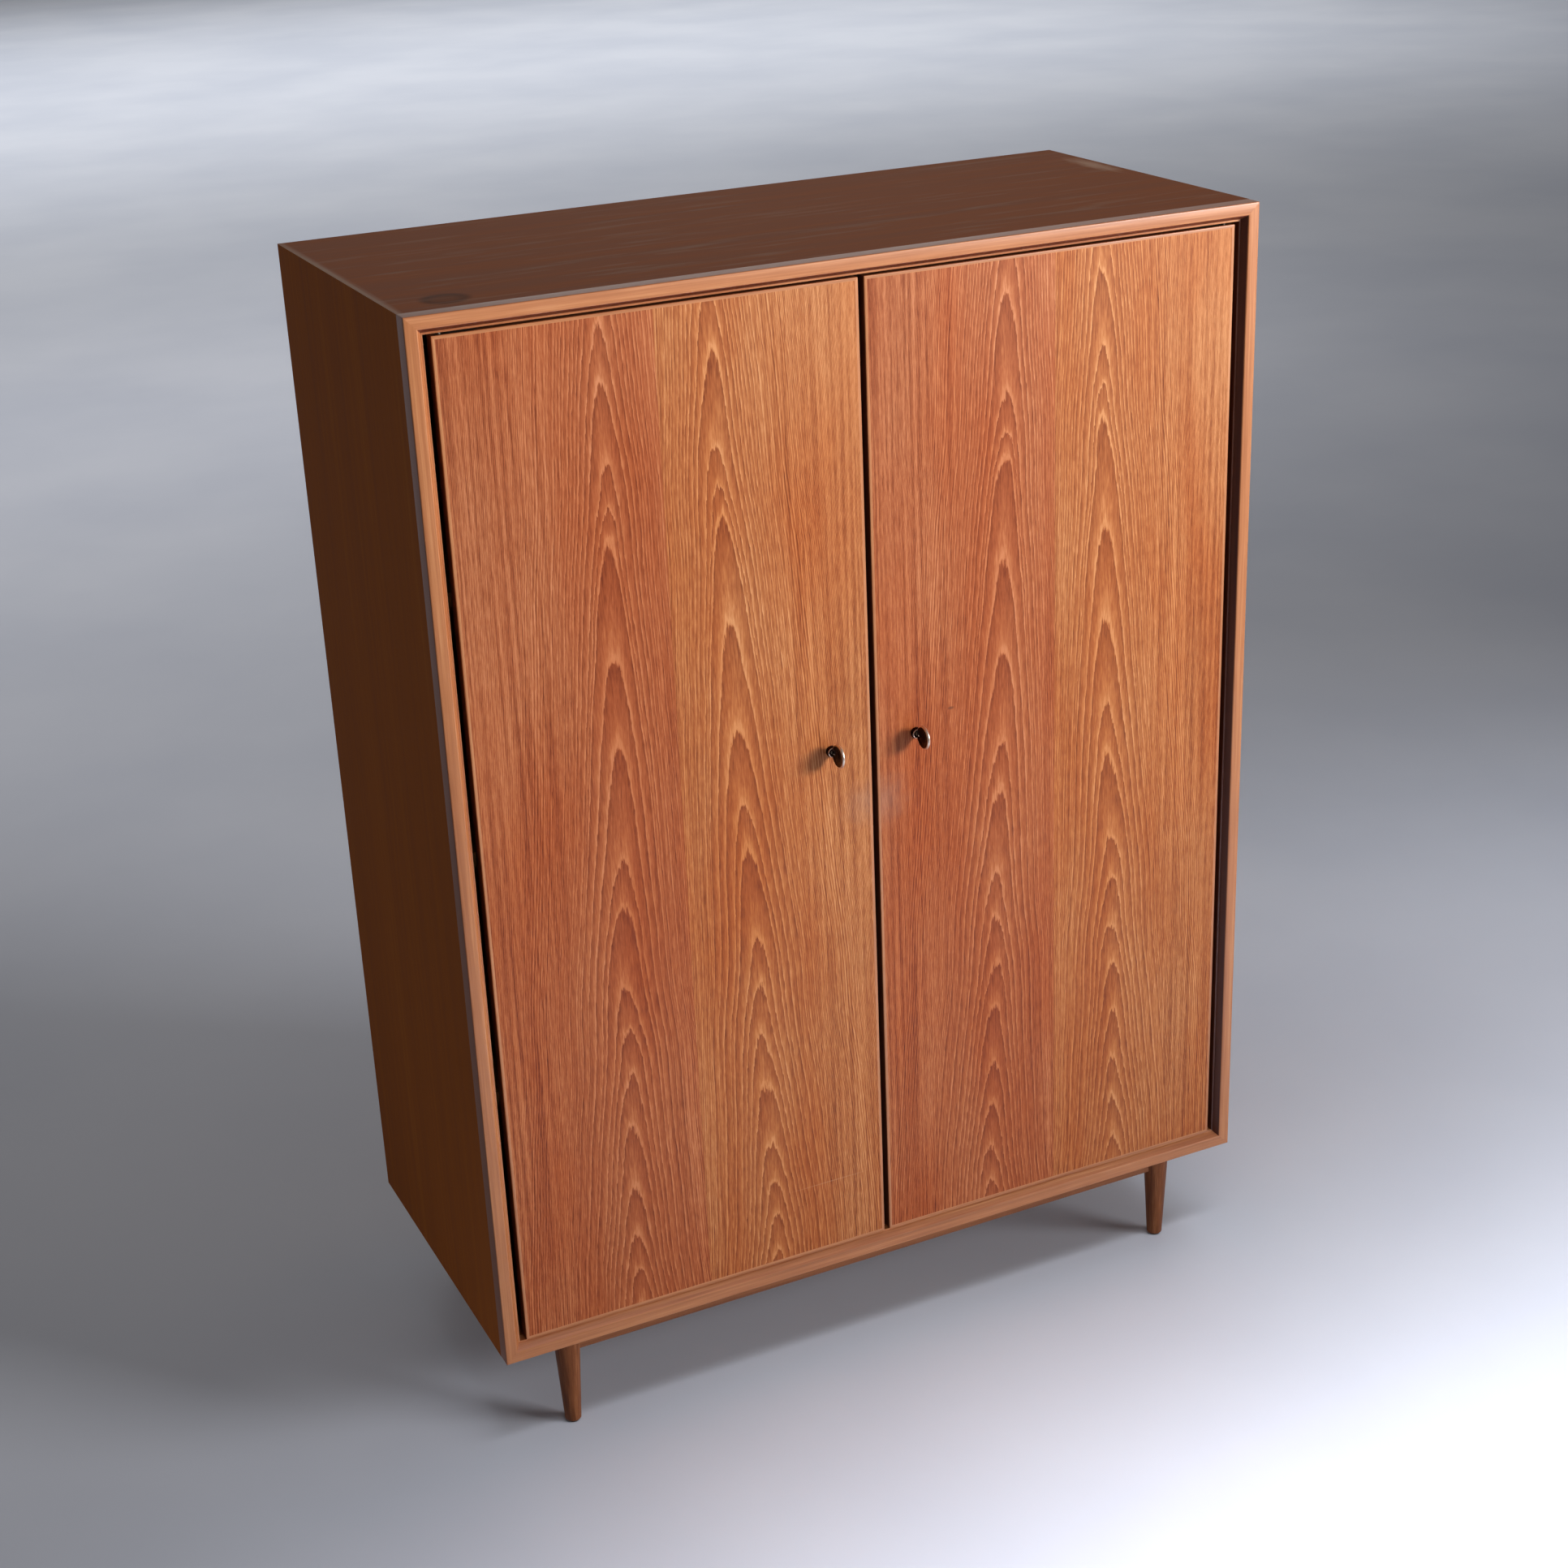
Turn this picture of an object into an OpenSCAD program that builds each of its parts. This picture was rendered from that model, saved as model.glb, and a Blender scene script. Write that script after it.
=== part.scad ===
// Two-door wardrobe: mitred case with a bevelled front moulding, inset doors on pivot hinges,
// a turning key and bolt in each door, and a base frame on four turned legs.
// X runs left to right, Y front to back and Z up. The origin is on the floor, at the centre of
// the whole outline seen from above, keys included.

/* [Case] */
// Width of the case
case_w = 1170; // [900:10:1500]
// Depth of the case from the moulding's face to the back
case_d = 530; // [440:10:640]
// Height of the case without its legs
case_h = 1426; // [1100:2:1800]
// Thickness of the side, top and bottom panels
panel_t = 22; // [20:0.5:28]
// Thickness of the back panel
back_t = 6; // [4:0.5:8]
// How far the back panel's rebate reaches into the panels
back_rebate = 10; // [7:0.5:12]
// Thickness of the centre partition
partition_t = 22; // [22:0.5:28]

/* [Front moulding] */
// Width of the moulding's flat face
face_w = 16; // [12:0.5:22]
// Width of the bevel, seen from the front
bevel_w = 6; // [4:0.5:10]
// Depth of the bevel, front to back
bevel_d = 10.5; // [6:0.5:14]
// Width of the lip inside the bevel
lip_w = 2.5; // [1.5:0.5:5]
// Depth of the moulding, front to back
moulding_d = 24; // [22:0.5:32]

/* [Doors] */
// Thickness of a door
door_t = 19; // [18:0.5:24]
// How far the door faces lie behind the moulding's face
door_recess = 7.2; // [4:0.2:9]
// Gap between the two doors
centre_gap = 8; // [4:0.5:12]
// Gap between a door's outer edge and the lip
side_gap = 8.8; // [7:0.2:12]
// Gap above a door
top_gap = 2.4; // [1.6:0.2:4]
// Gap below a door
bottom_gap = 2; // [1.6:0.2:4]
// Thickness of the doors' edge lippings
edge_lipping = 4; // [3.5:0.5:8]
// How far the doors open, in degrees
door_swing = 110; // [60:5:115]

/* [Pivot hinges] */
// Length of a pivot plate
plate_l = 52; // [40:2:80]
// Width of a pivot plate
plate_w = 11; // [9:0.5:12]
// Thickness of a pivot plate
plate_t = 2.4; // [1.6:0.2:3]
// Radius of the pivot pin
pivot_r = 3; // [2:0.25:4]
// Distance from a door's outer edge to its pivot axis
pivot_inset = 12; // [10:0.5:14]
// How deep the pivot pin reaches into the door
pivot_depth = 9; // [6:0.5:14]

/* [Keys and locks] */
// Height of the keys above the underside of the case
key_h = 784; // [500:2:1000]
// Distance from a door's closing edge to its key
key_inset = 59; // [50:1:80]
// Diameter of a key's round bow
bow_d = 32.4; // [22:0.4:40]
// Thickness of a key's bow
bow_t = 4.4; // [4:0.2:6]
// Gap between a door and the key's bow
bow_gap = 5.6; // [4:0.2:12]
// Radius of the collar round a key
collar_r = 7.75; // [7.5:0.25:12]
// Radius of the key shank
shank_r = 3; // [2:0.25:3.5]
// Height of a lock case
lock_h = 58; // [50:1:70]
// Depth of a lock case, front to back
lock_d = 14; // [13:0.5:18]
// Wall of a lock case
lock_wall = 1.5; // [1:0.1:2]
// Width of the flange that the lock screws go through
lock_flange = 9; // [8:0.5:12]
// How far a bolt slides
bolt_travel = 11; // [8:0.5:12]
// Height of a bolt
bolt_h = 12; // [10:0.5:14]
// Thickness of a bolt
bolt_t = 5; // [4:0.5:6]
// Radius of the follower's drive pin
drive_r = 1.5; // [1:0.25:2]

/* [Inside] */
// Thickness of the shelves
shelf_t = 18; // [15:0.5:22]
// How far the shelves' front edges lie behind the partition's front edge
shelf_setback = 28; // [24:1:60]
// Height of the hat shelf above the bottom panel
hat_shelf_h = 1120; // [700:10:1200]
// Radius of the hanging rail
rail_r = 12.5; // [10:0.5:16]
// Distance from the hat shelf down to the rail's axis
rail_drop = 60; // [45:1:90]
// Radius of a shelf pin
pin_r = 3; // [2:0.25:4]
// Length of a shelf pin that shows
pin_l = 9; // [7:0.5:14]

/* [Base] */
// Clear height under the case
leg_h = 153; // [110:1:220]
// Radius of a leg at the case
leg_top_r = 19.3; // [17:0.1:25]
// Radius of a leg at the floor
leg_foot_r = 11.5; // [10:0.1:16]
// Distance from the side of the case to a leg's axis
leg_inset_x = 101.5; // [60:0.5:140]
// Distance from the front or back of the case to a leg's axis
leg_inset_y = 44.6; // [36:0.2:70]
// Height of the base rails
base_rail_h = 36; // [30:1:50]
// Thickness of the base rails
base_rail_t = 20; // [18:0.5:26]
// How far a rail's outer face lies outside the leg axes
base_rail_lead = 6.5; // [6:0.5:9]
// Thickness of the leg glides
glide_t = 2.5; // [1.5:0.5:4]

/* [Hidden] */
$fn = 48;

// clearances
fit = 0.05;
play = 0.3;
seat = 0.4;
stop_gap = 0.8;
eps = 0.01;

teak = "#a9683c";
lipping_teak = "#b9783f";
inside_wood = "#c08a58";
steel = "#9a9a96";
dark_horn = "#24130f";

// places: the front of the case, its floor and the planes that follow from them
key_reach = bow_gap + bow_d - door_recess;
front_y = -(case_d - key_reach) / 2;
back_y = front_y + case_d;
base_z = leg_h;
case_top = base_z + case_h;
half_w = case_w / 2;
moulding_w = face_w + bevel_w + lip_w;
open_half = half_w - moulding_w;
in_half = half_w - panel_t;
in_low = base_z + panel_t;
in_high = case_top - panel_t;
panel_y = front_y + moulding_d;
back_front_y = back_y - back_t;

door_y = front_y + door_recess;
door_back_y = door_y + door_t;
door_in_x = centre_gap / 2;
door_out_x = open_half - side_gap;
door_low = base_z + moulding_w + bottom_gap;
door_high = case_top - moulding_w - top_gap;
door_w = door_out_x - door_in_x;
door_h = door_high - door_low;
partition_y = door_back_y + stop_gap;

pivot_x = door_out_x - pivot_inset;
pivot_y = front_y + (bevel_d + moulding_d) / 2;
plate_screw_gap = 13;
plate_screw = [13, 1.5, 2.6];
plate_start = pivot_r + 3.5;

key_x = door_in_x + key_inset;
key_z = base_z + key_h;
bow_back_y = door_y - bow_gap;
bow_y = bow_back_y - bow_d / 2;
tang_r = 1.2;
tang_l = 9;
collar_hollow_r = shank_r + 2.6;
collar_hollow_d = 1.8;
collar_l = bow_gap - stop_gap + collar_hollow_d;
collar_spigot_r = 6;
collar_spigot_l = 9;
lock_in_x = partition_t / 2 + 4;
lock_out_x = key_x + 16;
cover_post_r = 3;
cover_screw = [8, 1.2, 2.4];
lock_low = key_z - lock_h / 2;
lock_high = key_z + lock_h / 2;
lock_y = door_back_y;
lock_back_y = lock_y + lock_d;
crank_angle = 45;
crank_r = bolt_travel / 2 / sin(crank_angle);
drive_z = key_z + crank_r * cos(crank_angle);
drive_x = key_x + crank_r * sin(crank_angle);
crank_y = lock_y + lock_wall + play;
crank_t = 2.2;
crank_disc_r = crank_r + drive_r + 1.2;
bolt_y = crank_y + crank_t + play;
bolt_low = key_z + 2;
bolt_nose_x = lock_in_x;
slot_w = 2 * drive_r + 1.1;
bolt_tail_x = drive_x + slot_w / 2 + 3;
slot_low = key_z + crank_r * cos(crank_angle) - drive_r - 0.6;
slot_high = key_z + crank_r + drive_r + 0.6;
lock_screw = [11, 1.5, 2.6];
strike_t = 1.5;
strike_h = 46;
strike_y = bolt_y + bolt_t / 2;
strike_w = 2 * (strike_y - partition_y) - 1.2;
strike_hole_d = bolt_travel - (lock_in_x - partition_t / 2) + 1.5;
strike_screw = [8, 1.2, 2.4];

shelf_y = partition_y + shelf_setback;
shelf_d = back_front_y - shelf_y - seat;
shelf_side_x = -in_half + seat;
partition_x = partition_t / 2;
shelf_count = 3;
shelf_pitch = (in_high - in_low) / (shelf_count + 1);
pin_hole = 10;
pin_front = 60;
hat_z = in_low + hat_shelf_h;
batten = 18;
rail_z = hat_z - rail_drop;
rail_y = (shelf_y + back_front_y) / 2;
socket_r = rail_r + 3;
socket_flange_r = rail_r + 12;
socket_flange_t = 3;
socket_l = 16;
socket_screw = [14, 1.6, 3.2];

leg_x = half_w - leg_inset_x;
leg_front_y = front_y + leg_inset_y;
leg_back_y = back_y - leg_inset_y;
cope = leg_top_r / 2;
dowel_r = 5;
dowel_l = 32;
dowel_in_leg = 12;
dowel_start = 6;
base_screw = [50, 2, 4.2];
foot_round = 2;
glide_r = leg_foot_r - 3;
back_screw = [16, 1.3, 3];

// ---------- helpers

// draws for the right side, or mirrored for the left
module sided(side) {
    if (side < 0) mirror([1, 0, 0]) children();
    else children();
}

// a box from its lowest to its highest corner
module block(low, high) {
    translate(low) cube(high - low);
}

// a cylinder whose axis runs along +X, +Y or +Z from a point
module rod(at, axis, length, radius, sides = 48) {
    turn = axis == "x" ? [0, 90, 0] : axis == "y" ? [-90, 0, 0] : [0, 0, 0];
    translate(at) rotate(turn) cylinder(h = length, r = radius, $fn = sides);
}

// a countersunk wood screw with its head at the origin, pointing along +Z;
// a kind of screw is its length, its shank radius and its head radius
module screw(kind) {
    rotate_extrude($fn = 24) polygon([
        [0, 0], [kind[2], 0], [kind[1], kind[2] - kind[1]], [kind[1], kind[0] - 3], [0, kind[0]]
    ]);
}

// the hole that such a screw seats in
module screw_hole(kind) {
    slack = kind[1] + fit;
    translate([0, 0, -eps]) rotate_extrude($fn = 24) polygon([
        [0, 0], [kind[2] + fit, 0], [slack, kind[2] - kind[1]], [slack, kind[0] + 0.5],
        [0, kind[0] + 0.5]
    ]);
}

// a flat slab in the XZ plane with its outline mitred like a picture frame's side
module mitred_upright(out_x, width, low, high, y0, y1) {
    s = out_x < 0 ? 1 : -1;
    translate([0, y1, 0]) rotate([90, 0, 0]) linear_extrude(y1 - y0) polygon([
        [out_x, low], [out_x + s * width, low + width],
        [out_x + s * width, high - width], [out_x, high]
    ]);
}

module mitred_cross(out_z, width, half, y0, y1, up) {
    translate([0, y1, 0]) rotate([90, 0, 0]) linear_extrude(y1 - y0) polygon([
        [-half, out_z], [half, out_z],
        [half - width, out_z + up * width], [-half + width, out_z + up * width]
    ]);
}

// ---------- case

back_screw_xs = [-in_half * 2 / 3, 0, in_half * 2 / 3];
back_screw_zs = [
    for (k = [0 : 3]) in_low + (in_high - in_low) * (k + 0.5) / 4
];
back_screw_edge = 5;

// places every back panel screw, pointing forwards into the case
module at_back_screws() {
    for (x = back_screw_xs) {
        for (z = [base_z + panel_t - back_screw_edge, case_top - panel_t + back_screw_edge])
            translate([x, back_y, z]) rotate([90, 0, 0]) children();
    }
    for (z = back_screw_zs) {
        for (x = [-half_w + panel_t - back_screw_edge, 0, half_w - panel_t + back_screw_edge])
            translate([x, back_y, z]) rotate([90, 0, 0]) children();
    }
}

module back_holes() {
    at_back_screws() screw_hole(back_screw);
}

module rebate() {
    block(
        [-half_w + panel_t - back_rebate, back_front_y, base_z + panel_t - back_rebate],
        [half_w - panel_t + back_rebate, back_y + eps, case_top - panel_t + back_rebate]
    );
}

module side_panel(side) {
    color(teak) difference() {
        mitred_upright(side * half_w, panel_t, base_z, case_top, panel_y, back_y);
        rebate();
        back_holes();
        if (side < 0) at_shelf_pins(-1) pin_holes();
        if (side > 0) at_rail_sockets(1) socket_holes();
    }
}

module top_panel() {
    color(teak) difference() {
        mitred_cross(case_top, panel_t, half_w, panel_y, back_y, -1);
        rebate();
        back_holes();
    }
}

module bottom_panel() {
    color(teak) difference() {
        mitred_cross(base_z, panel_t, half_w, panel_y, back_y, 1);
        rebate();
        back_holes();
        base_screw_holes();
    }
}

module back_panel() {
    margin = back_rebate - seat;
    color(inside_wood) difference() {
        block(
            [-in_half - margin, back_front_y, in_low - margin],
            [in_half + margin, back_y, in_high + margin]
        );
        back_holes();
    }
}

module back_screws() {
    color(steel) at_back_screws() screw(back_screw);
}

// the moulding's section: first value across the face, second value depth from the front
moulding_section = [
    [0, 0], [face_w, 0], [face_w + bevel_w, bevel_d], [moulding_w, bevel_d],
    [moulding_w, moulding_d], [0, moulding_d]
];

module upright_moulding(side) {
    color(lipping_teak) difference() {
        intersection() {
            sided(side) translate([half_w, front_y, base_z]) mirror([1, 0, 0])
                linear_extrude(case_h) polygon(moulding_section);
            mitred_upright(side * half_w, moulding_w, base_z, case_top, front_y, panel_y);
        }
    }
}

module cross_moulding(z, up) {
    color(lipping_teak) difference() {
        intersection() {
            translate([half_w, front_y, z]) rotate([0, -90, 0]) linear_extrude(case_w)
                polygon([for (p = moulding_section) [up * p[0], p[1]]]);
            mitred_cross(z, moulding_w, half_w, front_y, panel_y, up);
        }
        for (side = [-1, 1]) sided(side) {
            plate_pocket(z + up * moulding_w, up);
            at_plate_screws(z + up * moulding_w, -up) screw_hole(plate_screw);
        }
    }
}

module partition() {
    color(inside_wood) difference() {
        block([-partition_x, partition_y, in_low], [partition_x, back_front_y, in_high]);
        back_holes();
        at_shelf_pins(1) pin_holes();
        at_rail_sockets(-1) socket_holes();
        for (side = [-1, 1]) sided(side) {
            strike_pocket();
            at_strike_screws() screw_hole(strike_screw);
        }
    }
}

// ---------- inside fittings

function shelf_z(k) = in_low + k * shelf_pitch;
pin_ys = [shelf_y + pin_front, shelf_y + shelf_d - pin_front];

// shelf pin places: on the left side panel (-1) or on the partition (1)
module at_shelf_pins(wall) {
    x = wall < 0 ? -in_half : -partition_x;
    for (k = [1 : shelf_count]) {
        for (y = pin_ys) translate([x, y, shelf_z(k) - pin_r]) children();
    }
}

module pin_holes() {
    translate([-pin_hole - 0.5, 0, 0]) rotate([0, 90, 0])
        cylinder(h = 2 * pin_hole + 1, r = pin_r + fit);
}

module shelf(k) {
    color(inside_wood) block(
        [shelf_side_x, shelf_y, shelf_z(k)],
        [-partition_x - seat, shelf_y + shelf_d, shelf_z(k) + shelf_t]
    );
}

module shelf_pins() {
    color(steel) {
        at_shelf_pins(-1) rod([-pin_hole, 0, 0], "x", pin_hole + pin_l, pin_r);
        at_shelf_pins(1) rod([-pin_l, 0, 0], "x", pin_hole + pin_l, pin_r);
    }
}

module hat_shelf() {
    color(inside_wood) block(
        [partition_x + seat, shelf_y, hat_z],
        [in_half - seat, shelf_y + shelf_d, hat_z + shelf_t]
    );
}

module hat_shelf_battens() {
    color(inside_wood) for (x = [partition_x, in_half - batten]) {
        block([x, shelf_y + batten, hat_z - batten], [x + batten, shelf_y + shelf_d, hat_z]);
    }
}

// rail sockets: on the right side panel (1) or on the partition (-1), facing the space between
module at_rail_sockets(wall) {
    if (wall > 0) translate([in_half, rail_y, rail_z]) rotate([0, -90, 0]) children();
    else translate([partition_x, rail_y, rail_z]) rotate([0, 90, 0]) children();
}

module at_socket_screws() {
    for (a = [90, 270]) rotate([0, 0, a]) translate([socket_r + 4.3, 0, socket_flange_t])
        mirror([0, 0, 1]) children();
}

module socket_holes() {
    at_socket_screws() screw_hole(socket_screw);
}

module rail_socket() {
    difference() {
        union() {
            cylinder(h = socket_flange_t, r = socket_flange_r);
            cylinder(h = socket_l, r = socket_r);
        }
        translate([0, 0, 2]) cylinder(h = socket_l, r = rail_r + fit);
        socket_holes();
    }
}

module rail_sockets() {
    color(steel) for (wall = [-1, 1]) at_rail_sockets(wall) rail_socket();
}

module socket_screws() {
    color(steel) for (wall = [-1, 1]) at_rail_sockets(wall)
        at_socket_screws() screw(socket_screw);
}

module hanging_rail() {
    wall = 1.5;
    start = partition_x + 2 + seat;
    length = in_half - 2 - seat - start;
    color(steel) difference() {
        rod([start, rail_y, rail_z], "x", length, rail_r);
        rod([start - 1, rail_y, rail_z], "x", length + 2, rail_r - wall);
    }
}

module strike_box(x0, x1, half_y, half_z) {
    z = bolt_low + bolt_h / 2;
    block([x0, strike_y - half_y, z - half_z], [x1, strike_y + half_y, z + half_z]);
}

module strike_pocket() {
    strike_box(partition_x - strike_t, partition_x + eps, strike_w / 2 + fit, strike_h / 2 + fit);
    strike_box(partition_x - strike_hole_d, partition_x + eps, bolt_t / 2 + 1, bolt_h / 2 + 1);
}

module at_strike_screws() {
    for (s = [-1, 1]) translate([
        partition_x, strike_y, bolt_low + bolt_h / 2 + s * (strike_h / 2 - 7)
    ]) rotate([0, -90, 0]) children();
}

module strike_plates() {
    color(steel) for (side = [-1, 1]) sided(side) difference() {
        strike_box(partition_x - strike_t, partition_x, strike_w / 2, strike_h / 2);
        strike_box(partition_x - 3, partition_x + 1, bolt_t / 2 + 0.6, bolt_h / 2 + 0.6);
        at_strike_screws() screw_hole(strike_screw);
    }
}

module strike_screws() {
    color(steel) for (side = [-1, 1]) sided(side)
        at_strike_screws() screw(strike_screw);
}

// ---------- base

leg_points = [
    for (y = [leg_front_y, leg_back_y], x = [-leg_x, leg_x]) [x, y]
];

// a plain taper with an eased lower edge
module leg_form() {
    translate([0, 0, glide_t]) rotate_extrude($fn = 64) polygon(concat(
        [[0, 0]],
        [for (a = [0 : 15 : 90])
            [leg_foot_r - foot_round + foot_round * sin(a), foot_round * (1 - cos(a))]],
        [[leg_top_r, leg_h - glide_t], [0, leg_h - glide_t]]
    ));
}

module leg(side, y) {
    color(lipping_teak) difference() {
        translate([side * leg_x, y, 0]) leg_form();
        dowel_holes();
        translate([side * leg_x, y, 0]) cylinder(h = glide_t + 8, r = 2 + fit);
    }
}

module leg_glides() {
    color("#3a332d") for (p = leg_points) translate([p[0], p[1], 0]) {
        cylinder(h = glide_t, r = glide_r);
        cylinder(h = glide_t + 7, r = 2);
    }
}

rail_mid_z = base_z - base_rail_h / 2;

// dowels in the rail ends: the long rails' along X and the side rails' along Y
module at_dowels() {
    for (p = leg_points) {
        sx = p[0] < 0 ? 1 : -1;
        sy = p[1] < 0 ? 1 : -1;
        lead = base_rail_t / 2 - base_rail_lead;
        translate([p[0] + sx * dowel_start, p[1] + sy * lead, rail_mid_z])
            rotate([0, sx * 90, 0]) children();
        translate([p[0] + sx * lead, p[1] + sy * dowel_in_leg, rail_mid_z])
            rotate([-sy * 90, 0, 0]) children();
    }
}

module dowel_holes() {
    at_dowels() translate([0, 0, -1]) cylinder(h = dowel_l + 2, r = dowel_r + fit);
}

module base_dowels() {
    color(inside_wood) at_dowels() cylinder(h = dowel_l, r = dowel_r);
}

// screws up through the rails into the bottom panel
module at_base_screws() {
    lead = base_rail_t / 2 - base_rail_lead;
    for (y = [leg_front_y + lead, leg_back_y - lead]) {
        for (x = [-leg_x / 2, leg_x / 2]) translate([x, y, base_z - base_rail_h]) children();
    }
    for (x = [-leg_x + lead, leg_x - lead])
        translate([x, (leg_front_y + leg_back_y) / 2, base_z - base_rail_h]) children();
}

module base_screw_holes() {
    at_base_screws() screw_hole(base_screw);
}

module base_screws() {
    color(steel) at_base_screws() screw(base_screw);
}

module long_rail(y, sy) {
    y0 = sy > 0 ? y - base_rail_lead : y + base_rail_lead - base_rail_t;
    color(lipping_teak) difference() {
        block(
            [-leg_x + cope, y0, base_z - base_rail_h],
            [leg_x - cope, y0 + base_rail_t, base_z]
        );
        for (side = [-1, 1]) translate([side * leg_x, y, 0]) leg_form();
        dowel_holes();
        base_screw_holes();
    }
}

module side_rail(side) {
    x0 = side * leg_x - (side > 0 ? base_rail_t - base_rail_lead : base_rail_lead);
    color(lipping_teak) difference() {
        block(
            [x0, leg_front_y + cope, base_z - base_rail_h],
            [x0 + base_rail_t, leg_back_y - cope, base_z]
        );
        for (y = [leg_front_y, leg_back_y]) translate([side * leg_x, y, 0]) leg_form();
        for (y = [leg_front_y, leg_back_y]) long_rail_clear(y);
        dowel_holes();
        base_screw_holes();
    }
}

// keeps the side rails off the long rails at the inner corners
module long_rail_clear(y) {
    sy = y < 0 ? 1 : -1;
    y0 = sy > 0 ? y - base_rail_lead : y + base_rail_lead - base_rail_t;
    block(
        [-half_w, y0 - seat, base_z - base_rail_h - 1],
        [half_w, y0 + base_rail_t + seat, base_z + 1]
    );
}

// ---------- pivot hinges

// the plates run from beside the pivot towards the middle of the door
module plate_shape(z0, z1) {
    block(
        [pivot_x - plate_l + plate_start, pivot_y - plate_w / 2, z0],
        [pivot_x + plate_start, pivot_y + plate_w / 2, z1]
    );
}

module plate_pocket(z, up) {
    z0 = up > 0 ? z - plate_t : z - eps;
    plate_shape(z0, z0 + plate_t + eps);
}

// plate screws, pointing into the wood: dir is 1 to point up and -1 to point down
module at_plate_screws(z, dir) {
    for (k = [1, 2]) translate([pivot_x - k * plate_screw_gap - 8, pivot_y, z])
        mirror([0, 0, dir < 0 ? 1 : 0]) children();
}

module case_plate(z, up) {
    z0 = up > 0 ? z - plate_t : z;
    pin = plate_t + pivot_depth;
    gap = up > 0 ? bottom_gap : top_gap;
    difference() {
        union() {
            plate_shape(z0, z0 + plate_t);
            translate([pivot_x, pivot_y, up > 0 ? z0 : z0 + plate_t - pin - gap])
                cylinder(h = pin + gap, r = pivot_r);
        }
        at_plate_screws(z, -up) screw_hole(plate_screw);
    }
}

module case_pivot_plates() {
    color(steel) for (side = [-1, 1]) sided(side) {
        case_plate(base_z + moulding_w, 1);
        case_plate(case_top - moulding_w, -1);
    }
}

module case_pivot_screws() {
    color(steel) for (side = [-1, 1]) sided(side) {
        at_plate_screws(base_z + moulding_w, -1) screw(plate_screw);
        at_plate_screws(case_top - moulding_w, 1) screw(plate_screw);
    }
}

// what the pivot hinges take out of a door
module door_hinge_cuts() {
    plate_shape(door_low - eps, door_low + plate_t);
    plate_shape(door_high - plate_t, door_high + eps);
    for (z = [door_low - 1, door_high - pivot_depth - 1])
        translate([pivot_x, pivot_y, z]) cylinder(h = pivot_depth + 2, r = pivot_r + 0.6);
    at_plate_screws(door_low, 1) screw_hole(plate_screw);
    at_plate_screws(door_high, -1) screw_hole(plate_screw);
}

module door_plates(side) {
    color(steel) sided(side) difference() {
        union() {
            plate_shape(door_low, door_low + plate_t);
            plate_shape(door_high - plate_t, door_high);
        }
        for (z = [door_low - 1, door_high - plate_t - 1])
            translate([pivot_x, pivot_y, z]) cylinder(h = plate_t + 2, r = pivot_r + fit);
        at_plate_screws(door_low, 1) screw_hole(plate_screw);
        at_plate_screws(door_high, -1) screw_hole(plate_screw);
    }
}

module door_screws(side) {
    color(steel) sided(side) {
        at_plate_screws(door_low, 1) screw(plate_screw);
        at_plate_screws(door_high, -1) screw(plate_screw);
    }
}

// ---------- doors

module door_panel(side) {
    color(teak) sided(side) difference() {
        block(
            [door_in_x + edge_lipping, door_y, door_low + edge_lipping],
            [door_out_x - edge_lipping, door_back_y, door_high - edge_lipping]
        );
        door_hinge_cuts();
        collar_cuts();
        at_lock_screws() screw_hole(lock_screw);
    }
}

module door_lippings(side) {
    color(lipping_teak) sided(side) difference() {
        union() {
            mitred_strip([door_in_x, door_low], [door_in_x, door_high], [1, 0]);
            mitred_strip([door_out_x, door_low], [door_out_x, door_high], [-1, 0]);
            mitred_strip([door_in_x, door_low], [door_out_x, door_low], [0, 1]);
            mitred_strip([door_in_x, door_high], [door_out_x, door_high], [0, -1]);
        }
        door_hinge_cuts();
    }
}

// a lipping from a to b (X and Z), thick towards dir, mitred at both ends
module mitred_strip(a, b, dir) {
    w = edge_lipping;
    along = (b - a) / norm(b - a);
    translate([0, door_back_y, 0]) rotate([90, 0, 0]) linear_extrude(door_t)
        polygon([a, b, b - along * w + dir * w, a + along * w + dir * w]);
}

module collar_cuts() {
    rod([key_x, door_y - 1, key_z], "y", door_t + 2, shank_r + 0.8);
    rod([key_x, door_y - 1, key_z], "y", collar_spigot_l + 1, collar_spigot_r + fit);
}

module collar(side) {
    color("#5b4a32") sided(side) difference() {
        translate([key_x, door_y, key_z]) rotate([90, 0, 0]) union() {
            rotate_extrude() polygon([
                [0, 0], [collar_r, 0], [collar_r, collar_l - 1], [collar_r - 1, collar_l],
                [0, collar_l]
            ]);
            translate([0, 0, -collar_spigot_l]) cylinder(h = collar_spigot_l, r = collar_spigot_r);
        }
        rod([key_x, door_y - collar_l - 1, key_z], "y", collar_l + collar_spigot_l + 2,
            shank_r + fit);
        rod([key_x, door_y - collar_l - 1, key_z], "y", collar_hollow_d + 1, collar_hollow_r);
    }
}

// ---------- locks

module at_lock_screws() {
    for (x = [lock_in_x + 7, lock_out_x - 7]) {
        for (z = [lock_low + lock_flange / 2, lock_high - lock_flange / 2])
            translate([x, lock_y + lock_wall, z]) rotate([90, 0, 0]) children();
    }
}

// the box part of the lock lies between its two screw flanges
module lock_box(inset, y0, y1) {
    block(
        [lock_in_x + inset, y0, lock_low + lock_flange + inset],
        [lock_out_x - inset, y1, lock_high - lock_flange - inset]
    );
}

// two posts below the bolt carry the cover
module at_cover_screws() {
    for (x = [lock_in_x + 9, lock_in_x + 30])
        translate([x, lock_back_y, lock_low + lock_flange + 9]) rotate([90, 0, 0]) children();
}

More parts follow.
